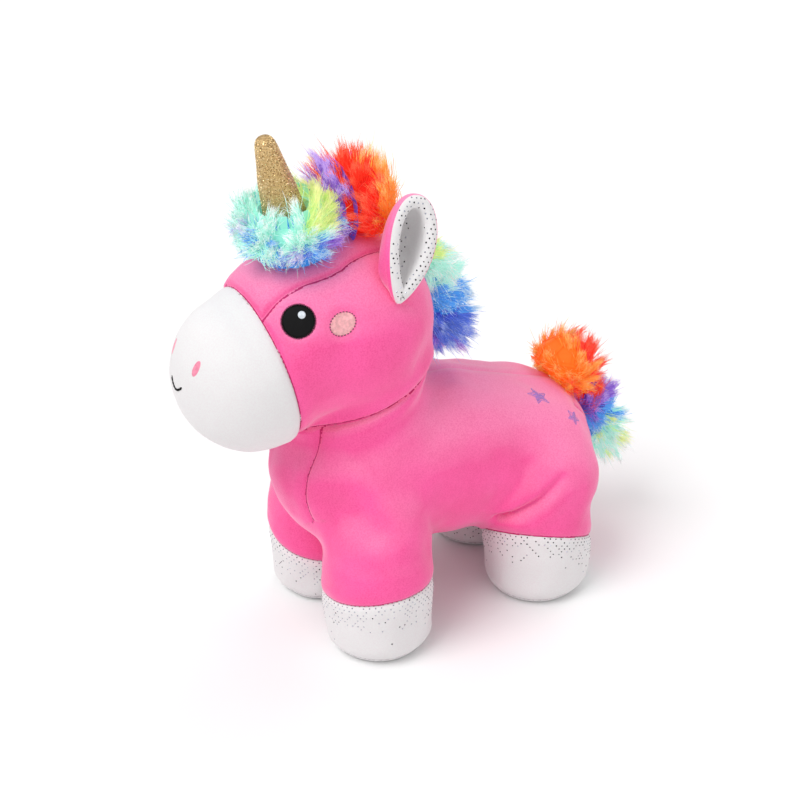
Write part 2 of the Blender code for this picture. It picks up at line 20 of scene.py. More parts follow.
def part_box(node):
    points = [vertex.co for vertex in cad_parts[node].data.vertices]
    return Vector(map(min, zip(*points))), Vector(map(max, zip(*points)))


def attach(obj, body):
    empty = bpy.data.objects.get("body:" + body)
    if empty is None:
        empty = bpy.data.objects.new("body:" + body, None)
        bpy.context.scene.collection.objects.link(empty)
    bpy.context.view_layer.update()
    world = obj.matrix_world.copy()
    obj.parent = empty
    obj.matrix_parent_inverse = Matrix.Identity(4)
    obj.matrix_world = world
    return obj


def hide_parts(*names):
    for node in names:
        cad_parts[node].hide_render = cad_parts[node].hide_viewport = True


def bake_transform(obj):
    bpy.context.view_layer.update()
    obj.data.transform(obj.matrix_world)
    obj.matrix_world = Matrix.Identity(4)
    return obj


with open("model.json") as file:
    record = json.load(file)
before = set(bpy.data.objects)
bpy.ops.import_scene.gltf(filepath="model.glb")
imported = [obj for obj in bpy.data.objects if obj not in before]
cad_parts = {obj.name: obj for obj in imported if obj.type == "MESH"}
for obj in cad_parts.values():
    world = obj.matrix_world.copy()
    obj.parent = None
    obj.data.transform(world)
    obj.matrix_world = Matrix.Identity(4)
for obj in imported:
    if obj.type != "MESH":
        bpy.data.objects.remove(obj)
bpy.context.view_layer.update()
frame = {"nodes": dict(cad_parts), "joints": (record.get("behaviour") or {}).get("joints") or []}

MM = 0.001
JOINTS = {joint["child"]: joint for joint in frame["joints"]}
PIVOT = {child: Vector(joint["pos_m"]) for child, joint in JOINTS.items()}
LEGS = [name for name in JOINTS if name.startswith("leg_")]

# skin
CLOSE_REACH = 3.2 * MM       # gaps up to twice this are bridged by the skin
WRAP_VOXEL = 2.2 * MM
SKIN_VOXEL = 1.7 * MM
SKIN_SMOOTHING = 8
FABRIC = 1.0 * MM            # thickness of a fabric piece
FLANGE = 0.8 * MM            # how far it reaches under its neighbour
FLANGE_DEPTH = 0.4 * MM      # how deep that hidden edge lies
NECK_SMOOTHING = 22
LEG_MIDDLE = 7 * MM          # front legs lie before this, hind legs behind it
LEG_REACH = 50 * MM          # a leg's fabric stays this near its hip
LEG_SLOPE = (0.80, 0.55)     # a leg's upper edge rises outward and toward its end
HIND_HOOF_DROP = 16.5 * MM   # from the hip to the middle of the hind hoof's seam
HIND_HOOF_SLOPE = (0.42, 0.36)   # that seam rises outward and falls backward
HEAD_FROM = 125 * MM         # folds lie below this height, the head's dents above
SEAM_WIDTH = 1.0 * MM
CUT_OFFSETS = (0, 0.45, -0.45, 1.1, -1.1, 2.2, -2.2)   # extra edges beside a seam, in mm
SEAM_DEPTH = 1.2 * MM
PUFF = 0.45 * MM             # the stuffing swells this much beside a seam
CREASE = 0.46 * MM           # half the width of a seam's dark line: partly parted pile, partly painted shade
CAGE_VOXEL = 4.5 * MM        # the cloth that is simulated
CLOTH_FRAMES = 16
PRESSURE = 4
PUFF_CAP = 2.4 * MM          # the most that pressure moves a point
MOVE_SMOOTHING = 3

# embroidery
EYE_R = 7.6 * MM
EYE_LIGHT_R = 1.9 * MM
CHEEK_R = (6.6 * MM, 5.2 * MM)
NOSTRIL_R = (1.9 * MM, 4.2 * MM)
NOSTRIL_OUT = 2.2 * MM       # further out than in CAD
STAR_NOTCH = 0.45
FLOSS = 0.36 * MM
EDGE_FLOSS = 0.42 * MM
DOT_HEIGHT = 0.09 * MM

UP = Vector((0, 0, 1))


# ---------------------------------------------------------------- materials
def linear(code):
    """A linear colour from a hex code."""
    parts = [int(code[i:i + 2], 16) / 255 for i in (0, 2, 4)]
    return (*[c / 12.92 if c < 0.04045 else ((c + 0.055) / 1.055) ** 2.4 for c in parts], 1)


class Look:
    """A Principled material and short ways to wire its nodes."""

    def __init__(self, name, **values):
        self.material = bpy.data.materials.new(name)
        self.material.use_nodes = True
        self.tree = self.material.node_tree
        self.shader = self.tree.nodes["Principled BSDF"]
        for key, value in values.items():
            self.shader.inputs[key.replace("_", " ")].default_value = value

    def node(self, kind, **values):
        made = self.tree.nodes.new(kind)
        for key, value in values.items():
            setattr(made, key, value)
        return made

    def link(self, output, target):
        self.tree.links.new(output, target)

    def noise(self, scale, detail=2.0, rough=0.5):
        place = self.node("ShaderNodeTexCoord")
        made = self.node("ShaderNodeTexNoise")
        made.inputs["Scale"].default_value = scale
        made.inputs["Detail"].default_value = detail
        made.inputs["Roughness"].default_value = rough
        self.link(place.outputs["Object"], made.inputs["Vector"])
        return made.outputs["Fac"]

    def ramp(self, factor, stops):
        made = self.node("ShaderNodeValToRGB")
        points = made.color_ramp.elements
        while len(points) < len(stops):
            points.new(0.5)
        for point, (place, colour) in zip(points, stops):
            point.position = place
            point.color = colour
        self.link(factor, made.inputs["Fac"])
        return made.outputs["Color"]

    def mix(self, factor, first, second, blend="MIX"):
        made = self.node("ShaderNodeMix", data_type="RGBA", blend_type=blend)
        made.inputs["Factor"].default_value = factor
        self.link(first, made.inputs["A"])
        self.link(second, made.inputs["B"])
        return made.outputs["Result"]

    def bump(self, height, strength, distance, under=None):
        made = self.node("ShaderNodeBump")
        made.inputs["Strength"].default_value = strength
        made.inputs["Distance"].default_value = distance
        self.link(height, made.inputs["Height"])
        if under:
            self.link(under, made.inputs["Normal"])
        return made.outputs["Normal"]


def scaled(colour, share):
    return (*[min(1, c * share) for c in colour[:3]], 1)


def velour(name, colour, top, sheen, sheen_tint, brushing=0.08, grain=1.0):
    """Short pile whose colour is lightened where its surface faces up: painted light from above."""
    colour = linear(colour)
    look = Look(name, Roughness=0.85, Specular_IOR_Level=0.15, Sheen_Weight=sheen,
                Sheen_Roughness=0.42, Sheen_Tint=sheen_tint)
    brushed = look.ramp(look.noise(45, 3, 0.5),
                        [(0.30, scaled(colour, 1 - brushing)), (0.70, scaled(colour, 1 + brushing))])
    # Painted light: the colour is mixed toward the top colour the more the surface faces up.
    facing = look.node("ShaderNodeSeparateXYZ")
    look.link(look.node("ShaderNodeNewGeometry").outputs["Normal"], facing.inputs[0])
    painted_top_share = look.ramp(facing.outputs["Z"], [(0.15, (0, 0, 0, 1)), (1.0, (0.75, 0.75, 0.75, 1))])
    upper = look.node("ShaderNodeRGB")
    upper.outputs[0].default_value = linear(top)
    painted_top_light = look.mix(0, brushed, upper.outputs[0])
    look.link(painted_top_share, painted_top_light.node.inputs["Factor"])
    dark = (1 - 0.10 * grain, 1 - 0.34 * grain, 1 - 0.24 * grain, 1)
    pile_tone = look.ramp(look.noise(1300, 3, 0.65), [(0.36, dark), (0.60, (1, 1, 1, 1))])
    look.link(look.mix(0.75, painted_top_light, pile_tone, "MULTIPLY"), look.shader.inputs["Base Color"])
    soft = look.bump(look.noise(70, 2), 3 * brushing, 1.0 * MM)
    pile = look.bump(look.noise(2600, 3, 0.7), 0.35 * (0.4 + 0.6 * grain), 0.25 * MM, soft)
    look.link(pile, look.shader.inputs["Normal"])
    return look.material


def thread(name, colour, roughness=0.42, sheen=0.15, gloss=0.5):
    """Embroidery floss: smooth with a low gloss."""
    colour = linear(colour)
    look = Look(name, Roughness=roughness, Specular_IOR_Level=gloss, Sheen_Weight=sheen)
    tones = look.ramp(look.noise(600, 2), [(0.3, scaled(colour, 0.82)), (0.7, scaled(colour, 1.15))])
    look.link(tones, look.shader.inputs["Base Color"])
    look.link(look.bump(look.noise(3500, 2), 0.2, 0.1 * MM), look.shader.inputs["Normal"])
    return look.material


def foil(name, colour, roughness):
    return Look(name, Base_Color=linear(colour), Metallic=1.0, Roughness=roughness).material


def glitter_cloth():
    """Gold fabric thick with fine glitter."""
    look = Look("gold_glitter", Metallic=0.75, Roughness=0.42)
    tones = look.ramp(look.noise(900, 4, 0.8),
                      [(0.30, linear("94744a")), (0.50, linear("d2ad74")), (0.72, linear("f6deae"))])
    look.link(tones, look.shader.inputs["Base Color"])
    grain = look.bump(look.noise(1500, 3, 0.8), 0.9, 0.5 * MM)
    look.link(grain, look.shader.inputs["Normal"])
    return look.material


# Each velour's third colour is its painted top light, mixed in where the surface faces up.
PINK = velour("pink_velour", "ff60a3", "ffa6ca", 0.7, (1.0, 0.76, 0.87, 1))
# The crease looks darken the strips along seams: partly parted pile, partly painted shade in the groove.
PINK_CREASE = velour("pink_crease", "c22d6c", "c93a78", 0.2, (1.0, 0.6, 0.8, 1))
WHITE = velour("white_velour", "e1e0e0", "eeeeee", 0.25, (1, 1, 1, 1), 0.012, 0.22)
WHITE_CREASE = velour("white_crease", "c9c4c6", "c9c4c6", 0.1, (1, 1, 1, 1), 0.01, 0.3)
BLACK = thread("black_thread", "070608", 0.6, 0.0, 0.18)
LIGHT = thread("white_thread", "dfe6ee")
BLUSH = thread("blush_thread", "efb0b4")
OUTLINE = thread("outline_thread", "6d3048")
ROSE = thread("rose_thread", "f08aa6")
VIOLET = thread("violet_thread", "a878c8")
SEAM_THREAD = thread("seam_thread", "ab2560", 0.7)
GOLD = glitter_cloth()
FOILS = [foil("silver_foil", "a6aab6", 0.24), foil("dark_foil", "17171d", 0.25)]
FLECKS = [foil("gold_fleck", "f4d9a4", 0.14), foil("pale_fleck", "fff0c8", 0.10),
          foil("bronze_fleck", "7c5a26", 0.2)]


# ---------------------------------------------------------------- mesh tools
def add_mesh(name, mesh):
    made = bpy.data.objects.new(name, mesh)
    bpy.context.scene.collection.objects.link(made)
    return made


def modified(obj, kind, **values):
    """Apply one modifier to the object's mesh."""
    step = obj.modifiers.new(kind.lower(), kind)
    for key, value in values.items():
        setattr(step, key, value)
    graph = bpy.context.evaluated_depsgraph_get()
    mesh = bpy.data.meshes.new_from_object(obj.evaluated_get(graph))
    obj.modifiers.clear()
    obj.data = mesh


def joined(name, meshes):
    bm = bmesh.new()
    for mesh in meshes:
        bm.from_mesh(mesh)
    made = bpy.data.meshes.new(name)
    bm.to_mesh(made)
    bm.free()
    return add_mesh(name, made)


def largest_part(obj):
    """Keep the biggest connected surface only."""
    bm = bmesh.new()
    bm.from_mesh(obj.data)
    left = set(bm.verts)
    parts = []
    while left:
        seed = left.pop()
        part = [seed]
        stack = [seed]
        while stack:
            for edge in stack.pop().link_edges:
                for vert in edge.verts:
                    if vert in left:
                        left.remove(vert)
                        part.append(vert)
                        stack.append(vert)
        parts.append(part)
    parts.sort(key=len)
    for part in parts[:-1]:
        bmesh.ops.delete(bm, geom=part, context="VERTS")
    bm.to_mesh(obj.data)
    bm.free()


def wrapped(name, nodes):
    """A closed surface round CAD nodes that bridges the narrow gaps in them."""
    obj = joined(name, [frame["nodes"][node].data for node in nodes])
    modified(obj, "REMESH", mode="VOXEL", voxel_size=WRAP_VOXEL)
    modified(obj, "DISPLACE", mid_level=0, strength=CLOSE_REACH)
    modified(obj, "REMESH", mode="VOXEL", voxel_size=WRAP_VOXEL)
    largest_part(obj)
    modified(obj, "DISPLACE", mid_level=0, strength=-CLOSE_REACH)
    return obj


def flat_side(node, toward):
    """(point, normal) of a CAD node's flat side that faces that way."""
    sides = {}
    for face in frame["nodes"][node].data.polygons:
        if face.normal.dot(toward) > 0.8:
            key = tuple(round(c, 2) for c in face.normal)
            area, point, normal = sides.get(key, (0, Vector(), Vector()))
            sides[key] = (area + face.area, point + face.center * face.area,
                          normal + face.normal * face.area)
    area, point, normal = max(sides.values(), key=lambda side: side[0])
    return point / area, normal.normalized()


def shell(name, points, normals, faces, looks, thickness=FABRIC, slots=None):
    """A closed sheet of fabric: its outside, its inside and a rim tucked under its neighbour."""
    count = len(points)
    inside = [p - n * thickness for p, n in zip(points, normals)]
    all_faces = [tuple(face) for face in faces]
    all_faces += [tuple(i + count for i in reversed(face)) for face in faces]
    edges = set()
    for face in faces:
        for i, first in enumerate(face):
            edges.add((first, face[(i + 1) % len(face)]))
    rims = [(a, b) for face in faces for a, b in zip(face, face[1:] + face[:1])
            if (b, a) not in edges]
    outward = {}
    for a, b in rims:
        out = (points[b] - points[a]).cross(normals[a] + normals[b])
        for v in (a, b):
            outward[v] = outward.get(v, Vector()) + out
    for v, out in outward.items():
        inside[v] = points[v] - normals[v] * FLANGE_DEPTH + out.normalized() * FLANGE
    all_faces += [(b, a, a + count, b + count) for a, b in rims]
    mesh = bpy.data.meshes.new(name)
    mesh.from_pydata(list(points) + inside, [], all_faces)
    mesh.update()
    mesh.shade_smooth()
    custom = []
    for i, face in enumerate(mesh.polygons):
        sign = -1 if len(faces) <= i < 2 * len(faces) else 1
        custom += [normals[v % count] * sign for v in face.vertices]
    mesh.normals_split_custom_set(custom)
    made = add_mesh(name, mesh)
    for look in looks:
        mesh.materials.append(look)
    if slots:
        for face, slot in zip(mesh.polygons, slots):
            face.material_index = slot
    return made


# ---------------------------------------------------------------- the skin
def end_of(leg):
    return 1 if "hind" in leg else -1


def side_of(leg):
    return 1 if "left" in leg else -1


def hoof_plane(leg):
    """(point, normal up) of the seam between a leg and its hoof."""
    if "front" in leg:
        return flat_side(leg.replace("leg_", "hoof_"), UP)
    outward, backward = HIND_HOOF_SLOPE
    normal = Vector((-outward * side_of(leg), backward, 1)).normalized()
    return PIVOT[leg] - UP * HIND_HOOF_DROP, normal


def leg_plane(leg):
    """(point, normal down into the leg) of the edge where the leg starts."""
    pivot = PIVOT[leg]
    out, end = LEG_SLOPE
    crotch = CROTCH["hind" if "hind" in leg else "front"]
    point = Vector((pivot.x, pivot.y, crotch + out * abs(pivot.x)))
    normal = Vector((out * side_of(leg), end * end_of(leg), -1)).normalized()
    return point, normal


NECK_POINT, NECK_DOWN = flat_side("head_stuffing", -UP)
NECK_UP = -NECK_DOWN
MUZZLE_POINT, MUZZLE_BACK = flat_side("muzzle", Vector((0, 1, 0)))
SOLE_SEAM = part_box("sole_front_left")[1].z + 1 * MM
GUSSET_LOW, GUSSET_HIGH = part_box("belly_gusset")
GUSSET_HALF = GUSSET_HIGH.x
FOREHEAD_LOW, FOREHEAD_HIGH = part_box("forehead_gusset")
FOREHEAD_SHAPE = ((0.0, 0.88), (0.47, 1.0), (1.0, 0.52))   # share of length, of half width
CROTCH = {"front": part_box("torso_stuffing")[0].z + 6.5 * MM, "hind": GUSSET_LOW.z + 1.5 * MM}
GUSSET_EDGE = Vector((0, FOREHEAD_LOW.y + 22 * MM, GUSSET_HIGH.z))
GUSSET_TILT = radians(-9)
HOOF_PLANE = {leg: hoof_plane(leg) for leg in LEGS}
LEG_PLANE = {leg: leg_plane(leg) for leg in LEGS}


def above_neck(p):
    return (p - NECK_POINT).dot(NECK_UP)


def before_muzzle_seam(p):
    return -(p - MUZZLE_POINT).dot(MUZZLE_BACK)


def leg_of(p):
    """The leg whose fabric holds this point, or None."""
    leg = "leg_%s_%s" % ("hind" if p.y > LEG_MIDDLE else "front", "left" if p.x > 0 else "right")
    point, normal = LEG_PLANE[leg]
    near = abs(p.y - PIVOT[leg].y) < LEG_REACH
    return leg if near and (p - point).dot(normal) > 0 else None


def forehead_half(y):
    share = (y - FOREHEAD_LOW.y) / (FOREHEAD_HIGH.y - FOREHEAD_LOW.y)
    for (s0, w0), (s1, w1) in zip(FOREHEAD_SHAPE, FOREHEAD_SHAPE[1:]):
        if share <= s1:
            return FOREHEAD_HIGH.x * (w0 + (w1 - w0) * max(0, share - s0) / (s1 - s0))
    return 0


def below_gusset_edge(p):
    rise = (p.y - GUSSET_EDGE.y) * sin(GUSSET_TILT) / cos(GUSSET_TILT)
    return p.z < GUSSET_EDGE.z + rise or p.y < GUSSET_EDGE.y + 12 * MM


def region_of(p):
    if above_neck(p) > 0:
        if before_muzzle_seam(p) > 0:
            return "muzzle"
        on_top = p.z > FOREHEAD_LOW.z - 2 * MM and p.y < FOREHEAD_HIGH.y
        if on_top and abs(p.x) < forehead_half(p.y):
            return "forehead_gusset"
        return "head_panel_left" if p.x > 0 else "head_panel_right"
    leg = leg_of(p)
    if leg:
        point, normal = HOOF_PLANE[leg]
        if p.z < SOLE_SEAM:
            return leg.replace("leg_", "sole_")
        if (p - point).dot(normal) < 0:
            return leg.replace("leg_", "hoof_")
        return leg
    if abs(p.x) < GUSSET_HALF and below_gusset_edge(p):
        return "belly_gusset"
    return "side_panel_left" if p.x > 0 else "side_panel_right"


class Seam:
    """A sewn line: where a plane meets the skin, within a region."""

    def __init__(self, point, normal, within, depth=SEAM_DEPTH, groove=True, line=True):
        self.point = Vector(point)
        self.normal = Vector(normal).normalized()
        self.within = within
        self.depth = depth
        self.groove = groove
        self.line = groove and line

    def away(self, p):
        return abs((p - self.point).dot(self.normal))


def forehead_seams():
    """Two bent lines from the muzzle seam to behind the ears."""
    seams = []
    length = FOREHEAD_HIGH.y - FOREHEAD_LOW.y
    for (s0, w0), (s1, w1) in zip(FOREHEAD_SHAPE, FOREHEAD_SHAPE[1:]):
        y0, y1 = FOREHEAD_LOW.y + s0 * length, FOREHEAD_LOW.y + s1 * length
        for side in (1, -1):
            start = Vector((side * w0 * FOREHEAD_HIGH.x, y0, 0))
            along = Vector((side * w1 * FOREHEAD_HIGH.x, y1, 0)) - start

            def within(p, side=side, y0=y0, y1=y1):
                first = y0 - 20 * MM * (y0 < -0.07)
                return (above_neck(p) > 20 * MM and p.x * side > 0 and first <= p.y <= y1
                        and before_muzzle_seam(p) < 0 and p.z > FOREHEAD_LOW.z - 8 * MM)
            seams.append(Seam(start, along.cross(UP), within))
    return seams


def leg_seams(leg):
    """The edge where a leg's fabric starts, and the seams of its hoof and its sole."""
    def mine(p):
        return leg_of(p) == leg

    def near(p):
        return (p.x * side_of(leg) > 0 and (p.y > LEG_MIDDLE) == (end_of(leg) > 0)
                and p.z < 110 * MM and abs(p.y - PIVOT[leg].y) < LEG_REACH)
    return [Seam(*LEG_PLANE[leg], near, groove=False), Seam(*HOOF_PLANE[leg], mine, 0.9 * MM),
            Seam((0, 0, SOLE_SEAM), UP, mine, 0.6 * MM)]


def make_seams():
    def head(p):
        return above_neck(p) > 0

    def gusset_side(p):
        return (above_neck(p) < 0 and below_gusset_edge(p)
                and (not leg_of(p) or p.y > 0 and p.z > CROTCH["hind"]))

    def gusset_end(p):
        return above_neck(p) < 0 and not leg_of(p) and abs(p.x) < GUSSET_HALF

    def spine(p):
        return above_neck(p) < 0 and not below_gusset_edge(p)

    def nape(p):
        return (head(p) and before_muzzle_seam(p) < 0
                and (p.y > FOREHEAD_HIGH.y or p.z < FOREHEAD_LOW.z))
    sideways = Vector((1, 0, 0))
    seams = [
        Seam(MUZZLE_POINT, MUZZLE_BACK, head, 1.2 * MM),
        Seam(NECK_POINT, NECK_UP, lambda p: p.z > 90 * MM, 2.2 * MM),
        Seam(sideways * GUSSET_HALF, sideways, gusset_side, 0.8 * MM),
        Seam(-sideways * GUSSET_HALF, sideways, gusset_side, 0.8 * MM),
        Seam(Vector(), sideways, spine, 0.35 * MM, line=False),
        Seam(Vector(), sideways, nape, 0.7 * MM),
    ]
    seams += forehead_seams()
    seams.append(Seam(GUSSET_EDGE, (0, -sin(GUSSET_TILT), cos(GUSSET_TILT)), gusset_end, groove=False))
    for leg in LEGS:
        seams += leg_seams(leg)
    return seams


# Folds in a flank's fabric: start and end (y, z), depth, half width.  Negative depths swell.
FOLDS = (
    ((0.0240, 0.0550), (0.0560, 0.0800), 5.4 * MM, 2.4 * MM),
    ((0.0330, 0.0530), (0.0620, 0.0720), -1.6 * MM, 5.0 * MM),
    ((0.0230, 0.0640), (0.0420, 0.0900), 1.4 * MM, 2.8 * MM),
    ((0.0200, 0.0700), (0.0220, 0.1000), 0.9 * MM, 5.0 * MM),
    ((-0.0080, 0.0500), (-0.0240, 0.0820), 1.8 * MM, 3.2 * MM),
    ((-0.0600, 0.1200), (-0.0460, 0.1020), 0.8 * MM, 4.0 * MM),
)
FLANK = 22 * MM              # folds lie further out than this


def fold_sink(p):
    """How deep the folds press the skin at this point."""
    here = Vector((p.y, p.z))
    inset = max(0, min(1, (abs(p.x) - FLANK) / (12 * MM)))
    sink = 0
    for start, end, depth, width in FOLDS:
        start = Vector(start)
        along = Vector(end) - start
        share = max(0, min(1, (here - start).dot(along) / along.length_squared))
        away = (here - start - along * share).length
        sink += depth * inset * (1 - share) ** 0.6 * exp(-(away / width) ** 2)
    return sink


def ear_pucker(p):
    """Gathers where an ear is sewn to the head."""
    foot = PIVOT["ear_left" if p.x > 0 else "ear_right"]
    off = p - foot
    away = off.length
    if away > 20 * MM:
        return 0
    angle = np.arctan2(off.z, off.y)
    return (0.9 + 0.4 * cos(7 * angle)) * MM * exp(-(away / (7 * MM)) ** 2)


def stitched_dents():
    """(centre, radius, depth) of the places that embroidery pulls in."""
    dents = []
    for side in ("left", "right"):
        dents.append((centre_of("eye_" + side), EYE_R, 0.8 * MM))
        dents.append((centre_of("cheek_" + side), CHEEK_R[0], 0.6 * MM))
    return dents


def under_pressure(cage, seams):
    """How far each point of the cage moves as cloth under pressure, held where it is sewn."""
    rest = [v.co.copy() for v in cage.data.vertices]
    held = cage.vertex_groups.new(name="held")
    for i, p in enumerate(rest):
        sewn = any(s.groove and s.away(p) < 3.5 * MM and s.within(p) for s in seams)
        if sewn or p.z < 5 * MM:
            held.add([i], 1.0, "REPLACE")
    cloth = cage.modifiers.new("cloth", "CLOTH")
    cloth.settings.quality = 6
    cloth.settings.mass = 0.15
    cloth.settings.tension_stiffness = 12
    cloth.settings.compression_stiffness = 12
    cloth.settings.bending_stiffness = 0.4
    cloth.settings.shrink_min = -0.03
    cloth.settings.use_pressure = True
    cloth.settings.uniform_pressure_force = PRESSURE
    cloth.settings.effector_weights.gravity = 0
    cloth.settings.vertex_group_mass = "held"
    for number in range(1, CLOTH_FRAMES + 1):
        bpy.context.scene.frame_set(number)
    graph = bpy.context.evaluated_depsgraph_get()
    result = bpy.data.meshes.new_from_object(cage.evaluated_get(graph))
    moves = [v.co - p for v, p in zip(result.vertices, rest)]
    return [m * min(1, PUFF_CAP / max(m.length, 1e-9)) for m in moves]


def evened(moves, edges):
    """Each point's move, averaged with its neighbours' a few times."""
    near = [[i] for i in range(len(moves))]
    for edge in edges:
        a, b = edge.vertices
        near[a].append(b)
        near[b].append(a)
    for _ in range(MOVE_SMOOTHING):
        moves = [sum((moves[j] for j in around), Vector()) / len(around) for around in near]
    return moves


def puffed(skin, seams):
    """Stuff the skin: it follows a coarser cage of cloth under pressure."""
    cage = add_mesh("cage", skin.data.copy())
    modified(cage, "REMESH", mode="VOXEL", voxel_size=CAGE_VOXEL)
    rest = [v.co.copy() for v in cage.data.vertices]
    moves = evened(under_pressure(cage, seams), cage.data.edges)
    faces = [list(face.vertices) for face in cage.data.polygons]
    tree = BVHTree.FromPolygons(rest, faces)
    for vert in skin.data.vertices:
        spot, _, index, _ = tree.find_nearest(vert.co)
        weights = [1 / ((rest[v] - spot).length + 0.3 * MM) ** 2 for v in faces[index]]
        total = sum(weights)
        vert.co += sum((moves[v] * w for v, w in zip(faces[index], weights)), Vector()) / total
    bpy.context.scene.frame_set(1)
    bpy.data.objects.remove(cage)
    modified(skin, "SMOOTH", factor=0.5, iterations=3)


def cut(bm, point, normal, within):
    faces = [face for face in bm.faces if within(face.calc_center_median())]
    geometry = set(faces)
    for face in faces:
        geometry.update(face.verts)
        geometry.update(face.edges)
    bmesh.ops.bisect_plane(bm, geom=list(geometry), plane_co=point, plane_no=normal, dist=1e-6)


def smooth_neck(bm):
    """Even out the bridge between the head and the body."""
    near = [v for v in bm.verts if -20 * MM < above_neck(v.co) < 3 * MM and v.co.z > 80 * MM]
    for _ in range(NECK_SMOOTHING):
        bmesh.ops.smooth_vert(bm, verts=near, factor=0.5, use_axis_x=True, use_axis_y=True,
                              use_axis_z=True)


def nodes_named(starts, end=""):
    return [n for n in frame["nodes"] if n.startswith(starts) and n.endswith(end)]


def wrap_skin():
    """One smooth surface round the body, the head and the legs."""
    shared = nodes_named(("torso_", "belly_", "side_", "head_", "muzzle", "forehead"))
    parts = []
    for side in ("left", "right"):
        own = nodes_named(("leg_", "hoof_", "sole_"), side)
        parts.append(wrapped("wrap_" + side, shared + own))
    skin = joined("skin", [part.data for part in parts])
    for part in parts:
        bpy.data.objects.remove(part)
    modified(skin, "REMESH", mode="VOXEL", voxel_size=SKIN_VOXEL)
    modified(skin, "SMOOTH", factor=0.5, iterations=SKIN_SMOOTHING)
    largest_part(skin)
    return skin


def seam_sink(vert, seams):
    """How deep the seams pull the skin in at this vertex, less the swelling beside them."""
    sink = 0
    for seam in seams:
        away = seam.away(vert.co)
        if seam.groove and away < 12 * MM and seam.within(vert.co - vert.normal * 0.01 * MM):
            groove = seam.depth * exp(-(away / SEAM_WIDTH) ** 2)
            swell = PUFF * exp(-((away - 5 * MM) / (3 * MM)) ** 2)
            sink = max(sink, groove) if groove > 0.05 * MM else sink - swell * (sink <= 0)
    return sink


def head_sink(p, dents):
    """How deep the ears' gathers and the embroidery pull the head in at this point."""
    sink = ear_pucker(p)
    for centre, radius, depth in dents:
        away = (p - centre).length
        if away < radius + 4 * MM:
            sink += depth * (1 - max(0, min(1, (away - radius + 1 * MM) / (3 * MM))))
    return sink


def make_skin():
    """The whole toy's surface, grooved along its seams."""
    skin = wrap_skin()
    seams = make_seams()
    puffed(skin, seams)
    bm = bmesh.new()
    bm.from_mesh(skin.data)
    smooth_neck(bm)
    for seam in seams:
        for offset in CUT_OFFSETS if seam.groove else (0,):
            cut(bm, seam.point + seam.normal * offset * MM, seam.normal, seam.within)
    bm.normal_update()
    dents = stitched_dents()
    moves = []
    for vert in bm.verts:
        sink = seam_sink(vert, seams)
        sink += fold_sink(vert.co) if vert.co.z < HEAD_FROM else head_sink(vert.co, dents)
        moves.append(vert.normal * sink)
    for vert, move in zip(bm.verts, moves):
        vert.co -= move
    bm.normal_update()
    bm.to_mesh(skin.data)
    bm.free()
    return skin, seams


def split_skin(skin, seams):
    """Each region's points, normals, faces, and whether a face lies in a seam."""
    mesh = skin.data
    points = [v.co.copy() for v in mesh.vertices]
    normals = [n.vector.copy() for n in mesh.vertex_normals]
    regions = {}
    grooves = [seam for seam in seams if seam.line]
    creased = {}
    for face in mesh.polygons:
        name = region_of(face.center)
        regions.setdefault(name, []).append(list(face.vertices))
        # Faces on a seam's line take the darker crease look: parted pile and painted shade.
        in_seam = any(s.away(face.center) < CREASE and s.within(face.center) for s in grooves)
        creased.setdefault(name, []).append(int(in_seam))
    pieces = {}
    for name, faces in regions.items():
        used = sorted({v for face in faces for v in face})
        index = {v: i for i, v in enumerate(used)}
        pieces[name] = ([points[v] for v in used], [normals[v] for v in used],
                        [[index[v] for v in face] for face in faces], creased[name])
    return pieces


def bend_with_leg(piece):
    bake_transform(piece)


def bend_with_neck(piece):
    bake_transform(piece)


def bend_fabric(piece, name):
    """Tie a head piece to the head; other pieces stay where they are."""
    if name.startswith(("leg_", "hoof_", "sole_")):
        bend_with_leg(piece)
    elif name.startswith(("muzzle", "forehead", "head")):
        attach(piece, "head")
    else:
        bend_with_neck(piece)


def nodes_under(name):
    """The CAD nodes that a fabric piece stands for."""
    if name.startswith("leg_"):
        return [name.replace("leg_", "leg_skin_"), name.replace("leg_", "leg_stuffing_")]
    stuffing = {"belly_gusset": ["torso_stuffing"], "muzzle": ["head_stuffing"]}
    return [name] + stuffing.get(name, [])


def place_fabric(pieces):
    for name, (points, normals, faces, creased) in sorted(pieces.items()):
        hoof = name.startswith(("hoof_", "sole_"))
        white = hoof or name == "muzzle"
        looks = [WHITE, WHITE_CREASE] if white else [PINK, PINK_CREASE]
        piece = shell(name + "_fabric", points, normals, faces, looks, slots=creased)
        bend_fabric(piece, name)
        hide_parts(*nodes_under(name))


# ---------------------------------------------------------------- threads
class Surface:
    """Finds points on the skin."""

    def __init__(self, obj):
        bm = bmesh.new()
        bm.from_mesh(obj.data)
        self.tree = BVHTree.FromBMesh(bm)
        bm.free()

    def under(self, point, direction, reach):
        hit, normal, _, _ = self.tree.ray_cast(point, direction, reach)
        return (hit, normal) if hit else (None, None)

    def frame_at(self, point, spin=0.0):
        hit, normal, _, _ = self.tree.find_nearest(Vector(point))
        across = UP.cross(normal).normalized()
        turn = Matrix((across, normal.cross(across), normal)).transposed().to_4x4()
        return Matrix.Translation(hit) @ turn @ Matrix.Rotation(spin, 4, "Z")

    def project(self, place, x, y):
        """The skin point under (x, y) of a local frame, and its normal."""
        start = place @ Vector((x, y, 20 * MM))
        return self.under(start, -(place.col[2].to_3d()), 0.05)


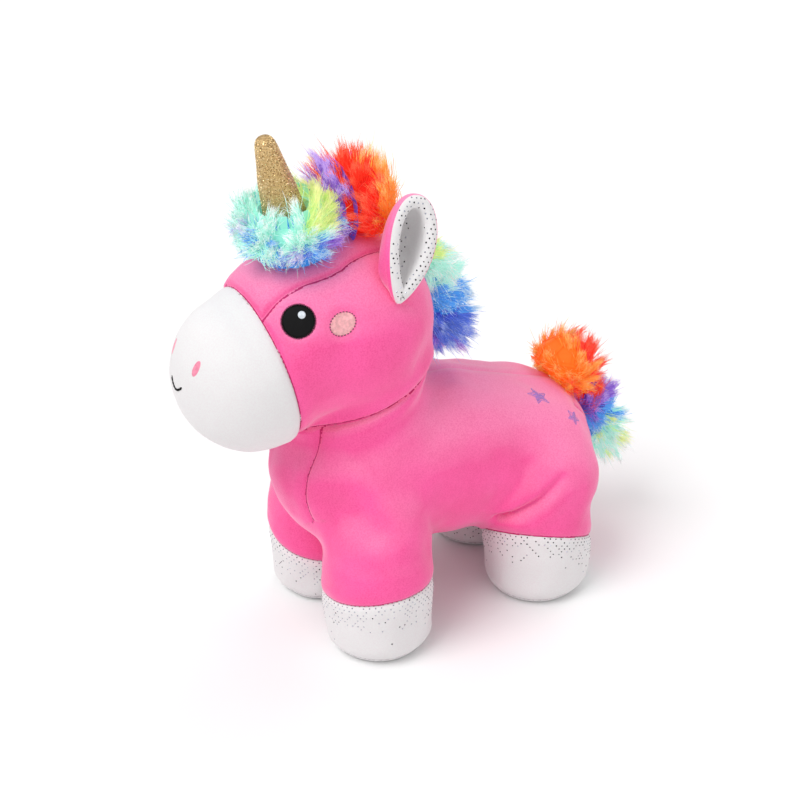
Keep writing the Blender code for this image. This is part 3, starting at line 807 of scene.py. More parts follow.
def strand(bm, points, normals, width, height, slot=0, sides=5):
    """One closed thread that lies along the points, its ends tucked in."""
    rings = []
    count = len(points)
    for i, (point, normal) in enumerate(zip(points, normals)):
        along = points[min(i + 1, count - 1)] - points[max(i - 1, 0)]
        across = along.cross(normal).normalized()
        end = 0.45 if i in (0, count - 1) else 1.0
        ring = []
        for k in range(sides):
            angle = pi * k / (sides - 1)
            offset = across * (width / 2 * cos(angle) * end) + normal * (height * sin(angle) * end)
            ring.append(bm.verts.new(point + offset - normal * height * 0.35))
        rings.append(ring)
    faces = []
    for first, second in zip(rings, rings[1:]):
        for k in range(sides):
            m = (k + 1) % sides
            faces.append(bm.faces.new((first[k], second[k], second[m], first[m])))
    faces.append(bm.faces.new(rings[0]))
    faces.append(bm.faces.new(list(reversed(rings[-1]))))
    for face in faces:
        face.smooth = True
        face.material_index = slot


def finish_bm(name, bm, looks):
    bmesh.ops.recalc_face_normals(bm, faces=bm.faces)
    mesh = bpy.data.meshes.new(name)
    bm.to_mesh(mesh)
    bm.free()
    for look in looks:
        mesh.materials.append(look)
    return add_mesh(name, mesh)


def satin_fill(bm, surface, place, inside, half_x, half_y, pitch, stitch, rng, lift=0.0):
    """Rows of short stitches that fill a shape."""
    y = -half_y
    while y <= half_y:
        x = -half_x - stitch * rng.random()
        while x < half_x:
            steps = [x + stitch * i / 4 for i in range(5)]
            kept = [s for s in steps if inside(s, y)]
            if len(kept) >= 2:
                hits = [surface.project(place, s, y + rng.uniform(-0.04, 0.04) * MM) for s in kept]
                hits = [(p + n * lift, n) for p, n in hits if p]
                if len(hits) >= 2:
                    strand(bm, [p for p, _ in hits], [n for _, n in hits], pitch * 1.15,
                           rng.uniform(0.28, 0.40) * MM)
            x += stitch
        y += pitch


def patch(bm, surface, place, outline, lift):
    """A closed pad of underlay stitching that follows the surface."""
    rings = []
    shares = (0.25, 0.5, 0.75, 0.92, 1.0)
    for layer in (1, -1):
        for share in shares if layer > 0 else reversed(shares):
            ring = []
            for x, y in outline:
                hit, normal = surface.project(place, x * share, y * share)
                if hit is None:
                    return
                rise = lift * min(1, (1 - share) * 6) if layer > 0 else -0.4 * MM
                ring.append(bm.verts.new(hit + normal * rise))
            rings.append(ring)
    count = len(outline)
    for first, second in zip(rings, rings[1:]):
        for i in range(count):
            j = (i + 1) % count
            bm.faces.new((first[i], first[j], second[j], second[i])).smooth = True
    for ring in (rings[0], list(reversed(rings[-1]))):
        bm.faces.new(ring)


def border(bm, surface, place, outline, pitch, length, rng, lift=0.0):
    """Short stitches across a closed outline, side by side."""
    count = len(outline)
    for i in range(count):
        x, y = outline[i]
        nx, ny = outline[(i + 1) % count]
        edge = Vector((nx - x, ny - y))
        if edge.length < 1e-7:
            continue
        out = Vector((edge.y, -edge.x)).normalized()
        for k in range(max(1, round(edge.length / pitch))):
            middle = Vector((x, y)) + edge * (k + 0.5) * pitch / edge.length
            reach = length * rng.uniform(0.75, 1.15)
            ends = [middle - out * reach * 0.5, middle, middle + out * reach * 0.5]
            hits = [surface.project(place, e.x, e.y) for e in ends]
            if all(p for p, _ in hits):
                strand(bm, [p + n * lift for p, n in hits], [n for _, n in hits], EDGE_FLOSS,
                       rng.uniform(0.34, 0.48) * MM)


def oval(radius_x, radius_y, count=40):
    angles = [2 * pi * i / count for i in range(count)]
    return [(radius_x * cos(angle), radius_y * sin(angle)) for angle in angles]


def centre_of(node):
    low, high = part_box(node)
    return (low + high) / 2


def embroidered(name, bm, looks, body, node):
    piece = finish_bm(name, bm, looks)
    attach(piece, body)
    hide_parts(node)


def filled_oval(surface, place, radii, pad, stitch, rng, lift=0.0, inner=0.98, edge=1.0, corners=40):
    """An oval of underlay with rows of stitches over it, as a new bmesh."""
    rx, ry = radii
    bm = bmesh.new()
    patch(bm, surface, place, oval(rx * inner, ry * inner, corners), pad)
    satin_fill(bm, surface, place, lambda x, y: (x / rx) ** 2 + (y / ry) ** 2 < edge,
               rx, ry, FLOSS, stitch, rng, lift)
    return bm


def outline_cheek(bm, surface, place):
    """Dark dashes round the cheek."""
    spots = oval(*CHEEK_R, 26)
    for (x, y), (nx, ny) in zip(spots, spots[1:] + spots[:1]):
        ends = [(x + (nx - x) * s, y + (ny - y) * s) for s in (0, 0.3, 0.6)]
        hits = [surface.project(place, *e) for e in ends]
        if all(p for p, _ in hits):
            strand(bm, [p + n * 0.15 * MM for p, n in hits], [n for _, n in hits],
                   0.62 * MM, 0.6 * MM, 1)


def make_face(surface):
    for side, sign in (("left", 1), ("right", -1)):
        rng = random.Random(11 + sign)
        place = surface.frame_at(centre_of("eye_" + side))
        bm = filled_oval(surface, place, (EYE_R, EYE_R), 0.22 * MM, 3.4 * MM, rng)
        border(bm, surface, place, oval(EYE_R, EYE_R), 0.42 * MM, 1.5 * MM, rng, lift=0.05 * MM)
        embroidered("eye_%s_stitches" % side, bm, [BLACK], "head", "eye_" + side)
        place = surface.frame_at(centre_of("eye_highlight_" + side))
        bm = filled_oval(surface, place, (EYE_LIGHT_R, EYE_LIGHT_R), 0.62 * MM, 4 * MM, rng,
                         lift=0.5 * MM, inner=1.0)
        embroidered("eye_highlight_%s_stitches" % side, bm, [LIGHT], "head",
                    "eye_highlight_" + side)
        place = surface.frame_at(centre_of("cheek_" + side), spin=sign * radians(24))
        bm = filled_oval(surface, place, CHEEK_R, 0.10 * MM, 2.6 * MM, rng, inner=0.95, edge=0.92)
        outline_cheek(bm, surface, place)
        embroidered("cheek_%s_stitches" % side, bm, [BLUSH, OUTLINE], "head",
                    "cheek_" + side)
        spot = centre_of("nostril_" + side) + Vector((sign * NOSTRIL_OUT, 0, 0))
        place = surface.frame_at(spot, spin=sign * radians(-15))
        bm = filled_oval(surface, place, NOSTRIL_R, 0.1 * MM, 5 * MM, rng, inner=1.0, corners=24)
        embroidered("nostril_%s_stitches" % side, bm, [ROSE], "head",
                    "nostril_" + side)


def make_smile(surface):
    low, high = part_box("smile")
    place = surface.frame_at(centre_of("smile") - UP * 1.8 * MM)
    half = (high.x - low.x) / 2 * 1.35
    bm = bmesh.new()
    points = []
    for i in range(17):
        x = half * (i / 8 - 1)
        points.append(surface.project(place, x, 4.2 * MM * (abs(x) / half) ** 1.8))
    for i in range(0, 14, 2):
        hits = points[i:i + 4]
        strand(bm, [p + n * 0.1 * MM for p, n in hits], [n for _, n in hits], 1.35 * MM, 0.7 * MM)
    embroidered("smile_stitches", bm, [BLACK], "head", "smile")


def star_outline(radius):
    points = []
    for i in range(10):
        reach = radius if i % 2 == 0 else radius * STAR_NOTCH
        points.append((reach * cos(pi / 2 + pi * i / 5), reach * sin(pi / 2 + pi * i / 5)))
    return points


def make_stars(surface):
    for name, radius, spin in (("large", 6.8 * MM, 12), ("small", 4.6 * MM, -10)):
        node = "hip_star_" + name
        place = surface.frame_at(centre_of(node), spin=radians(spin))
        outline = star_outline(radius)
        rng = random.Random(len(name))
        bm = bmesh.new()

        def inside(x, y):
            angle = (np.arctan2(y, x) - pi / 2) % (2 * pi / 5)
            share = abs(angle - pi / 5) / (pi / 5)
            edge = radius * (STAR_NOTCH + (1 - STAR_NOTCH) * share ** 1.6)
            return sqrt(x * x + y * y) < edge * 0.86
        satin_fill(bm, surface, place, inside, radius, radius, FLOSS * 1.3, 2.4 * MM, rng)
        border(bm, surface, place, outline, 0.5 * MM, 0.8 * MM, rng)
        embroidered(node + "_stitches", bm, [VIOLET], "torso", node)


# ---------------------------------------------------------------- seam stitches
def dashes(bm, points, normals, length, gap, width):
    """Stitches along a line of surface points."""
    walked = 0.0
    current = []
    for i in range(1, len(points)):
        step = (points[i] - points[i - 1]).length
        if step > 6 * MM:
            current = []
            walked = 0.0
            continue
        walked = (walked + step) % (length + gap)
        if walked < length:
            current.append(i)
        else:
            if len(current) > 2:
                strand(bm, [points[k] for k in current], [normals[k] for k in current],
                       width, 0.45 * MM, sides=4)
            current = []


def ring_points(surface, centre, first, second, count, keep, reach=0.12):
    """Skin points round a centre, in the plane of two directions."""
    found = []
    for i in range(count):
        angle = 2 * pi * i / count
        out = first * cos(angle) + second * sin(angle)
        hit, normal = surface.under(centre + out * reach, -out, reach)
        if hit and keep(hit):
            found.append((hit, normal))
    return [p for p, _ in found], [n for _, n in found]


def head_stitches(surface):
    side = Vector((1, 0, 0))
    bm = bmesh.new()
    centre = MUZZLE_POINT.copy()
    centre.x = 0
    points, normals = ring_points(surface, centre, side, side.cross(MUZZLE_BACK), 1400,
                                  lambda p: above_neck(p) > 0)
    dashes(bm, points, normals, 1.3 * MM, 1.3 * MM, 0.35 * MM)
    for sign in (1, -1):
        line = []
        steps = 260
        for i in range(steps):
            y = FOREHEAD_LOW.y - 2 * MM + (FOREHEAD_HIGH.y - FOREHEAD_LOW.y) * i / steps
            hit, normal = surface.under(Vector((sign * forehead_half(y), y, 0.25)), -UP, 0.2)
            if hit and before_muzzle_seam(hit) < 0:
                line.append((hit, normal))
        dashes(bm, [p for p, _ in line], [n for _, n in line], 1.3 * MM, 1.1 * MM, 0.4 * MM)
    piece = finish_bm("head_seam_stitches", bm, [SEAM_THREAD])
    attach(piece, "head")


def body_stitches(surface):
    def on_body(p):
        return above_neck(p) < 0 and below_gusset_edge(p) and not leg_of(p)
    bm = bmesh.new()
    for sign in (1, -1):
        centre = Vector((sign * GUSSET_HALF, 0.0, 0.085))
        points, normals = ring_points(surface, centre, Vector((0, 1, 0)), UP, 2200, on_body)
        dashes(bm, points, normals, 1.3 * MM, 1.3 * MM, 0.35 * MM)
    piece = finish_bm("body_seam_stitches", bm, [SEAM_THREAD])
    bend_with_neck(piece)


def hoof_stitches(surface, leg):
    side = Vector((1, 0, 0))
    point, normal = HOOF_PLANE[leg]
    centre = PIVOT[leg].copy()
    rise = normal.x * (point.x - centre.x) + normal.y * (point.y - centre.y)
    centre.z = point.z + rise / normal.z
    first = side - normal * side.dot(normal)
    second = normal.cross(first).normalized()
    points, normals = ring_points(surface, centre, first.normalized(), second, 700,
                                  lambda p: p.x * side_of(leg) > 0, 31.5 * MM)
    bm = bmesh.new()
    dashes(bm, points, normals, 1.2 * MM, 1.2 * MM, 0.35 * MM)
    piece = finish_bm(leg.replace("leg_", "hoof_stitches_"), bm, [SEAM_THREAD])
    bend_with_leg(piece)


# ---------------------------------------------------------------- foil dots
def dot(bm, place, normal, radius, height, slot, sides=6):
    """A tiny closed dome."""
    across = normal.orthogonal().normalized()
    along = normal.cross(across)
    low = []
    high = []
    for i in range(sides):
        angle = 2 * pi * i / sides
        out = across * cos(angle) + along * sin(angle)
        low.append(bm.verts.new(place + out * radius - normal * height))
        high.append(bm.verts.new(place + out * radius * 0.75 + normal * height))
    for i in range(sides):
        j = (i + 1) % sides
        bm.faces.new((low[i], low[j], high[j], high[i])).material_index = slot
    bm.faces.new(high).material_index = slot
    bm.faces.new(list(reversed(low))).material_index = slot


def make_hoof_dots(surface):
    """Printed foil dots in slanted rows, thick under the seam and thinning downward."""
    rows, around = 14, 58
    for leg in LEGS:
        rng = random.Random(sum(map(ord, leg)))
        point, normal = HOOF_PLANE[leg]
        pivot = PIVOT[leg]
        bm = bmesh.new()
        for row in range(rows):
            for i in range(around):
                angle = 2 * pi * (i + 0.5 * (row % 2)) / around
                out = Vector((cos(angle), sin(angle), 0))
                rim = pivot + out * 28 * MM - point
                top = point.z - (normal.x * rim.x + normal.y * rim.y) / normal.z
                height = top - (1.2 + row * 1.8) * MM
                patchy = 0.5 + 0.5 * noise.noise(Vector((angle * 1.3, row * 0.16, leg.count("h") * 3.7)))
                inner = 0.5 + 0.5 * cos(angle - (pi if side_of(leg) > 0 else 0) + 0.7 * side_of(leg))
                chance = 1.25 - 1.4 * row / rows - 0.35 * (1 - inner) + 0.5 * (patchy - 0.5)
                if height < SOLE_SEAM + 2 * MM or rng.random() > max(0.05, chance):
                    continue
                start = Vector((pivot.x, pivot.y, height)) + out * 0.045
                hit, face_normal = surface.under(start, -out, 0.04)
                if hit is None or hit.x * side_of(leg) < 2 * MM:
                    continue
                tilt = Vector([rng.gauss(0, 0.16) for _ in range(3)])
                slot = 1 if rng.random() < (0.75 if "hind" in leg else 0.2) else 0
                dot(bm, hit, (face_normal + tilt).normalized(), rng.uniform(0.38, 0.52) * MM,
                    DOT_HEIGHT, slot)
        piece = finish_bm(leg.replace("leg_", "hoof_dots_"), bm, FOILS)
        bend_with_leg(piece)


# ---------------------------------------------------------------- horn
def make_horn():
    low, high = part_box("horn_skin")
    points = [v.co for v in frame["nodes"]["horn_skin"].data.vertices]
    tips = [p for p in points if p.z > high.z - 3 * MM]
    feet = [p for p in points if p.z < low.z + 4 * MM]
    tip = sum(tips, Vector()) / len(tips)
    foot = sum(feet, Vector()) / len(feet)
    axis = (tip - foot).normalized()
    length = (Vector((0, tip.y, high.z)) - foot).dot(axis) * 0.95
    axis = (axis * length - Vector((0, 2.5 * MM, 0))).normalized()
    side = Vector((1, 0, 0))
    back = axis.cross(side).normalized()
    profile = [(1.00, 0.0), (0.97, 0.06), (0.91, 0.2), (0.83, 0.36), (0.73, 0.52), (0.60, 0.68),
               (0.50, 0.82), (0.43, 0.91), (0.35, 0.96), (0.22, 0.99), (0.0, 1.0)]
    radius = (high.x - low.x) / 2
    sides, rows = 64, 60
    verts = []

    def at(share):
        for (r0, s0), (r1, s1) in zip(profile, profile[1:]):
            if share <= s1:
                t = (share - s0) / (s1 - s0)
                return (r0 + (r1 - r0) * t) * radius
        return 0
    for row in range(rows):
        share = (row / rows) ** 0.8 * 0.995
        for i in range(sides):
            angle = 2 * pi * i / sides
            out = side * cos(angle) + back * sin(angle)
            reach = at(share)
            dent = noise.noise(Vector((out.x * 1.6, out.y * 1.6, share * 4))) * 0.5 * MM
            seam = -0.7 * MM * exp(-(((angle - pi * 1.5 + pi) % (2 * pi) - pi) / 0.12) ** 2)
            reach += dent * min(1, reach / (4 * MM)) + seam * reach / radius
            verts.append(foot + axis * share * length + out * reach)
    bm = bmesh.new()
    made = [bm.verts.new(p) for p in verts]
    for row in range(rows - 1):
        for i in range(sides):
            j = (i + 1) % sides
            bm.faces.new((made[row * sides + i], made[row * sides + j],
                          made[(row + 1) * sides + j], made[(row + 1) * sides + i])).smooth = True
    bm.faces.new(made[-sides:]).smooth = True
    bm.faces.new(list(reversed(made[:sides])))
    horn = finish_bm("horn_fabric", bm, [GOLD])
    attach(horn, "horn")
    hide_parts("horn_skin", "horn_stuffing")
    surface = Surface(horn)
    rng = random.Random(5)
    bm = bmesh.new()
    for _ in range(4200):
        share = rng.uniform(0.02, 0.985)
        angle = rng.uniform(0, 2 * pi)
        out = side * cos(angle) + back * sin(angle)
        start = foot + axis * share * length + out * 0.03
        hit, normal = surface.under(start, -out, 0.03)
        if hit is None:
            continue
        tilt = Vector([rng.gauss(0, 0.30) for _ in range(3)])
        dot(bm, hit, (normal + tilt).normalized(), rng.uniform(0.16, 0.30) * MM, 0.06 * MM,
            rng.choices((0, 1, 2), (5, 2, 3))[0], 5)
    flecks = finish_bm("horn_glitter", bm, FLECKS)
    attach(flecks, "horn")


# ---------------------------------------------------------------- ears
EAR_HALF = 14.2 * MM         # half the ear's width
EAR_CUP = 15.5 * MM          # depth of its hollow
EAR_TURN = radians(84)       # the hollow faces this far round from the front
EAR_RIM = 3.5 * MM           # radius of its rolled edge
EAR_ROOT = 3.2 * MM          # its outside swells this much near the foot
EAR_WALL = 1.1 * MM
EAR_SHIFT = Vector((0, -4, 1.0)) * MM
EAR_WIDEST = 0.62            # share of the height where the ear is widest
EAR_STEPS = 88


class Ear:
    """A cupped leaf: a hollow with a thick rolled rim, pointed at the foot."""

    def __init__(self, side, sign):
        self.foot = PIVOT["ear_" + side] + EAR_SHIFT
        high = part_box("ear_outer_" + side)[1]
        verts = [v.co for v in frame["nodes"]["ear_outer_" + side].data.vertices]
        tips = [p for p in verts if p.z > high.z - 4 * MM]
        reach = sum(tips, Vector()) / len(tips) - self.foot
        self.along = reach.normalized()
        self.length = reach.length + 2 * MM
        behind = Vector((-sign * sin(EAR_TURN), cos(EAR_TURN), 0))
        self.behind = (behind - self.along * behind.dot(self.along)).normalized()
        self.across = self.behind.cross(self.along)

    def outline(self, step):
        """The rim's (sideways, upward) place, once round from the foot."""
        angle = 2 * pi * step / EAR_STEPS
        height = 0.5 - 0.5 * cos(angle)
        if height < EAR_WIDEST:
            width = sin(pi / 2 * height / EAR_WIDEST) ** 0.8
        else:
            width = sqrt(max(0, 1 - ((height - EAR_WIDEST) / (1 - EAR_WIDEST)) ** 2)) ** 0.9
        side = 1 if angle <= pi else -1
        return side * width * (EAR_HALF - EAR_RIM), height * (self.length - 2 * EAR_RIM) + EAR_RIM * 0.4

    def sheet(self, step, share):
        """The middle of the cloth, from the hollow's bottom (0) to the rim (1)."""
        x, z = self.outline(step)
        low_middle = 0.50 * self.length
        height = low_middle + (z - low_middle) * share
        open_part = min(1, height / (0.42 * self.length)) ** 0.8
        deep = EAR_CUP * open_part * (1 - share ** 2.3) ** 0.75
        curl = 2.6 * MM * sin(pi * min(1, max(0, height / self.length))) * share ** 2
        x *= share * (1 - 0.10 * share ** 4)
        return (self.foot + self.across * x + self.along * height
                + self.behind * (deep - curl - 4.5 * MM))

    def frame(self, step, share):
        """(point, normal out of the hollow, direction out over the rim)."""
        here = self.sheet(step, share)
        outward = self.sheet(step, min(1, share + 0.01)) - self.sheet(step, max(0.02, share - 0.02))
        round_rim = self.sheet(step + 0.5, share) - self.sheet(step - 0.5, share)
        normal = outward.cross(round_rim).normalized()
        if normal.dot(self.behind) > 0:
            normal = -normal
        return here, normal, outward.normalized()


def ear_rows(ear):
    """Rows of points: over the lining, round the rim, and down the outside."""
    shares = [0.04, 0.15, 0.28, 0.42, 0.55, 0.67, 0.77, 0.85, 0.91, 0.95]
    inner, outer = [], []
    for share in shares:
        wall = EAR_WALL + (EAR_RIM - EAR_WALL) * share ** 6
        inner.append([])
        outer.append([])
        for step in range(EAR_STEPS):
            place, normal, _ = ear.frame(step, share)
            inner[-1].append(place + normal * wall)
            height = (place - ear.foot).dot(ear.along) / ear.length
            root = EAR_ROOT * exp(-((height - 0.26) / 0.16) ** 2)
            outer[-1].append(place - normal * (wall + root * min(1, 2 * share)))
    rim = []
    for turn in range(0, 181, 15):
        rim.append([])
        for step in range(EAR_STEPS):
            place, _, _ = ear.frame(step, 1.0)
            _, normal, out = ear.frame(step, 0.93)
            angle = radians(turn)
            rim[-1].append(place + (normal * cos(angle) + out * sin(angle)) * EAR_RIM)
    return inner, rim, outer


def row_mesh(rows, facing):
    """Points, normals and faces of a sheet made of closed rows."""
    points = [p for row in rows for p in row]
    faces = [list(range(EAR_STEPS))]
    for j in range(len(rows) - 1):
        for i in range(EAR_STEPS):
            k = (i + 1) % EAR_STEPS
            faces.append([j * EAR_STEPS + i, (j + 1) * EAR_STEPS + i,
                          (j + 1) * EAR_STEPS + k, j * EAR_STEPS + k])
    mesh = bpy.data.meshes.new("rows")
    mesh.from_pydata(points, [], faces)
    bm = bmesh.new()
    bm.from_mesh(mesh)
    bmesh.ops.recalc_face_normals(bm, faces=bm.faces)
    bm.faces.ensure_lookup_table()
    if bm.faces[0].normal.dot(facing) < 0:
        bmesh.ops.reverse_faces(bm, faces=bm.faces)
    bm.normal_update()
    normals = [v.normal.copy() for v in bm.verts]
    turned = [[v.index for v in face.verts] for face in bm.faces]
    bm.free()
    bpy.data.meshes.remove(mesh)
    return points, normals, turned


def bend_with_ear(piece):
    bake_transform(piece)


def make_ears():
    for side, sign in (("left", 1), ("right", -1)):
        ear = Ear(side, sign)
        inner, rim, outer = ear_rows(ear)
        seam = 9
        outside = outer + list(reversed(rim[seam - 1:]))
        sheets = (("ear_lining_", inner + rim[:seam], -ear.behind, WHITE, "ear_foil"),
                  ("ear_outer_", outside, ear.behind, PINK, "pink_velour"))
        for name, rows, facing, look, slot in sheets:
            points, normals, faces = row_mesh(rows, facing)
            piece = shell(name + side + "_fabric", points, normals, faces, [look], 0.5 * MM)
            bend_with_ear(piece)
            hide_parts(name + side)
            if look == WHITE:
                make_ear_dots(side, piece, ear)


def make_ear_dots(side, lining, ear):
    surface = Surface(lining)
    rng = random.Random(31)
    bm = bmesh.new()
    for row in range(26):
        for column in range(-7, 8):
            x = (column + 0.5 * (row % 2)) * 2.3 * MM
            z = (row + 0.8) * 2.2 * MM
            rear = x if side == "left" else -x
            if rng.random() > 0.72 + 0.03 * rear / MM:
                continue
            start = ear.foot + ear.along * z + ear.across * x - ear.behind * 0.03
            hit, normal = surface.under(start, ear.behind, 0.06)
            if hit is None or normal.dot(ear.behind) > -0.3:
                continue
            tilt = Vector([rng.gauss(0, 0.16) for _ in range(3)])
            dot(bm, hit, (normal + tilt).normalized(), rng.uniform(0.40, 0.54) * MM, DOT_HEIGHT,
                1 if rng.random() < 0.6 else 0)
    piece = finish_bm("ear_dots_" + side, bm, FOILS)
    bend_with_ear(piece)


# ---------------------------------------------------------------- fur
PALETTE = {   # root, middle and tip of the pile
    "mint": ("9be8d6", "c4f4e8", "f2fdf9"),
    "lime": ("aee6c0", "dcf2a0", "f6f8a8"),
    "blue": ("3288da", "5aacf0", "c4e2fb"),
    "deep": ("3f54c4", "6282e0", "a8bcf2"),
    "violet": ("6c44b6", "9a6cd8", "caaaee"),
    "lilac": ("a49ce0", "c6c2f0", "eeecfc"),
    "red": ("ea200f", "ff4228", "ff6a4a"),
    "orange": ("fc7010", "ff9a36", "ffbe70"),
    "yellow": ("f8b43a", "ffd466", "ffeeaa"),
}
TONES = 2
PILE_WIDTH = 0.30 * MM
CORE_DEPTH = 4 * MM          # the backing lies this far inside the CAD tuft
FUR_GLOW = 0.24              # painted glow: the pile gives off light of its own colour, lightening its shade
FUR = {}


def fur_materials():
    for name, codes in PALETTE.items():
        for part, code in enumerate(codes):
            for tone in range(TONES):
                colour = scaled(linear(code), 0.92 + 0.16 * tone)
                # Painted glow: each fur look emits its own colour to lighten the pile's shade.
                look = Look("fur_%s_%d_%d" % (name, part, tone), Base_Color=colour, Roughness=0.6,
                            Specular_IOR_Level=0.25, Sheen_Weight=0.25, Sheen_Roughness=0.4,
                            Emission_Color=colour, Emission_Strength=FUR_GLOW)
                FUR[name, part, tone] = look.material


class Steady:
    """Stands in for random draws where the usual colour of a place is wanted."""

    def random(self):
        return 0.5

    def choices(self, options, weights):
        return [options[0]]


class Pile:
    """Collects strands of pile and makes them one object."""

    def __init__(self):
        self.verts = []
        self.faces = []
        self.slots = []
        self.looks = []

    def slot(self, key):
        if key not in self.looks:
            self.looks.append(key)
        return self.looks.index(key)

    def add(self, path, width, colour, tone, tip_from):
        """One three-sided tapering strand along the path."""
        count = len(path)
        start = len(self.verts)
        for i, point in enumerate(path[:-1]):
            along = (path[i + 1] - path[max(i - 1, 0)]).normalized()
            across = along.orthogonal().normalized()
            other = along.cross(across)
            radius = width / 2 * (1 - 0.55 * (i / (count - 1)) ** 2)
            for k in range(3):
                angle = 2 * pi * k / 3
                self.verts.append(point + across * radius * cos(angle) + other * radius * sin(angle))
        self.verts.append(path[-1])
        last = count - 2
        for i in range(last):
            part = 0 if i == 0 else 1 if i / (count - 1) < tip_from else 2
            slot = self.slot((colour, part, tone))
            for k in range(3):
                m = (k + 1) % 3
                a = start + i * 3
                self.faces.append((a + k, a + m, a + 3 + m, a + 3 + k))
                self.slots.append(slot)
        slot = self.slot((colour, 2, tone))
        a = start + last * 3
        tip = len(self.verts) - 1
        for k in range(3):
            self.faces.append((a + k, a + (k + 1) % 3, tip))
            self.slots.append(slot)
        self.faces.append((start + 2, start + 1, start))
        self.slots.append(self.slot((colour, 0, tone)))

    def core(self, node, depth, colour_of):
        """The backing under the pile: the CAD tuft, shrunk, in the pile's root colours."""
        mesh = frame["nodes"][node].data
        start = len(self.verts)
        normals = mesh.vertex_normals
        self.verts += [v.co - normals[v.index].vector * depth for v in mesh.vertices]
        for polygon in mesh.polygons:
            self.faces.append(tuple(start + i for i in polygon.vertices))
            self.slots.append(self.slot((colour_of(polygon.center, Steady()), 0, 0)))

    def make(self, name):
        mesh = bpy.data.meshes.new(name)
        mesh.from_pydata(self.verts, [], self.faces)
        for key in self.looks:
            mesh.materials.append(FUR[key])
        mesh.polygons.foreach_set("material_index", self.slots)
        mesh.update()
        mesh.shade_smooth()
        return add_mesh(name, mesh)


def surface_samples(node, count, rng, keep):
    """Points spread over a CAD node's surface where keep(point, normal) says."""
    mesh = frame["nodes"][node].data
    mesh.calc_loop_triangles()
    triangles = []
    areas = []
    for triangle in mesh.loop_triangles:
        corners = [mesh.vertices[i].co for i in triangle.vertices]
        if keep((corners[0] + corners[1] + corners[2]) / 3, triangle.normal):
            triangles.append((corners, triangle.normal.copy()))
            areas.append(triangle.area)
    picked = rng.choices(range(len(triangles)), areas, k=count)
    samples = []
    for index in picked:
        (a, b, c), normal = triangles[index]
        u, v = rng.random(), rng.random()
        if u + v > 1:
            u, v = 1 - u, 1 - v
        samples.append((a + (b - a) * u + (c - a) * v, normal))
    return samples


def in_box(node, x, y, z):
    """A point given as shares of a node's box."""
    low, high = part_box(node)
    return Vector([low[i] + (high[i] - low[i]) * share for i, share in enumerate((x, y, z))])


def place_in(node, p):
    """Shares of a node's box at a point."""
    low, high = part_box(node)
    return [(p[i] - low[i]) / (high[i] - low[i]) for i in range(3)]


def grow_tuft(name, node, whorls, clumps, per_clump, colour_of, comb, body, seed,
              keep=lambda p, n: True, reach=(0.98, 1.30)):
    """Locks of pile that fan out from whorls over a CAD tuft's surface."""
    rng = random.Random(seed)
    pile = Pile()
    middle = in_box(node, 0.5, 0.5, 0.5)
    pile.core(node, CORE_DEPTH, colour_of)

    def jitter(size):
        return Vector([rng.gauss(0, size) for _ in range(3)])
    for tip, normal in surface_samples(node, clumps, rng, keep):
        core = min(whorls, key=lambda w: (w - tip).length + rng.uniform(0, 5 * MM))
        out = tip - core
        if out.length < 4 * MM:
            out = normal * 4 * MM + jitter(2 * MM)
        colour = colour_of(tip + jitter(1.4 * MM), rng)
        end = core + out * rng.uniform(*reach) + comb(tip, out) * rng.uniform(0.5, 1.3)
        arch = normal * rng.uniform(1.5, 4.0) * MM + (tip - middle).normalized() * 1.5 * MM
        bow = jitter(1.2 * MM)
        for _ in range(per_clump):
            loose = rng.random() < 0.16
            base = core + out * rng.uniform(0.0, 0.25) + jitter(2.2 * MM)
            top = end + jitter((2.6 if loose else 0.95) * MM) + out.normalized() * (1.5 * MM * loose)
            top -= out.normalized() * abs(rng.gauss(0, 2.6 * MM))
            bulge = base * 0.45 + top * 0.55 + arch + bow + jitter(0.8 * MM)
            path = []
            for i in range(5):
                t = i / 4
                path.append(base * (1 - t) ** 2 + bulge * 2 * t * (1 - t) + top * t * t)
            pile.add(path, PILE_WIDTH * rng.uniform(0.75, 1.25), colour, rng.randrange(TONES),
                     rng.uniform(0.5, 0.75))
    piece = pile.make(name)
    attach(piece, body)
    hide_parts(node)


def forelock_colour(p, rng):
    _, y, z = place_in("forelock", p)
    if z > 0.58:
        if y > 0.58 and z > 0.70:
            return "lime"
        return rng.choices(("mint", "blue", "lilac"), (9, 0.7, 0.5))[0]
    if y > 0.72:
        return "violet" if rng.random() < 0.7 else "deep"
    if z < 0.48 and y > 0.18:
        return rng.choices(("blue", "deep", "lilac", "mint"), (6, 1.5, 2, 1))[0]
    if y > 0.60:
        return "blue"
    return rng.choices(("mint", "lilac", "blue"), (6, 1.5, 1))[0]


def mane_front_colour(p, rng):
    _, y, z = place_in("mane_front", p)
    if y < 0.07:
        return "violet" if rng.random() < 0.8 else "red"
    if y > 0.58 or (z < 0.40 and y > 0.45):
        return "orange" if rng.random() < 0.88 else "yellow"
    return "red" if rng.random() < 0.93 else "orange"


def mane_back_colour(p, rng):
    z = place_in("mane_back", p)[2]
    if z > 0.90:
        return "lime"
    if z > 0.64:
        return "mint"
    if z > 0.36:
        return "blue"
    return "deep" if z > 0.18 or rng.random() < 0.5 else "violet"


def tail_colour(p, rng):
    _, y, z = place_in("tail", p)
    down = 1 - z + 0.28 * y
    if down < 0.56:
        rim = y > 0.42 or down > 0.46
        return "red" if rim or rng.random() < 0.1 else "orange"
    if down < 0.64:
        return "red" if y < 0.4 else "violet"
    if down < 0.76:
        return "violet"
    if down < 0.90:
        return "blue"
    return "mint" if rng.random() < 0.85 else "lime"


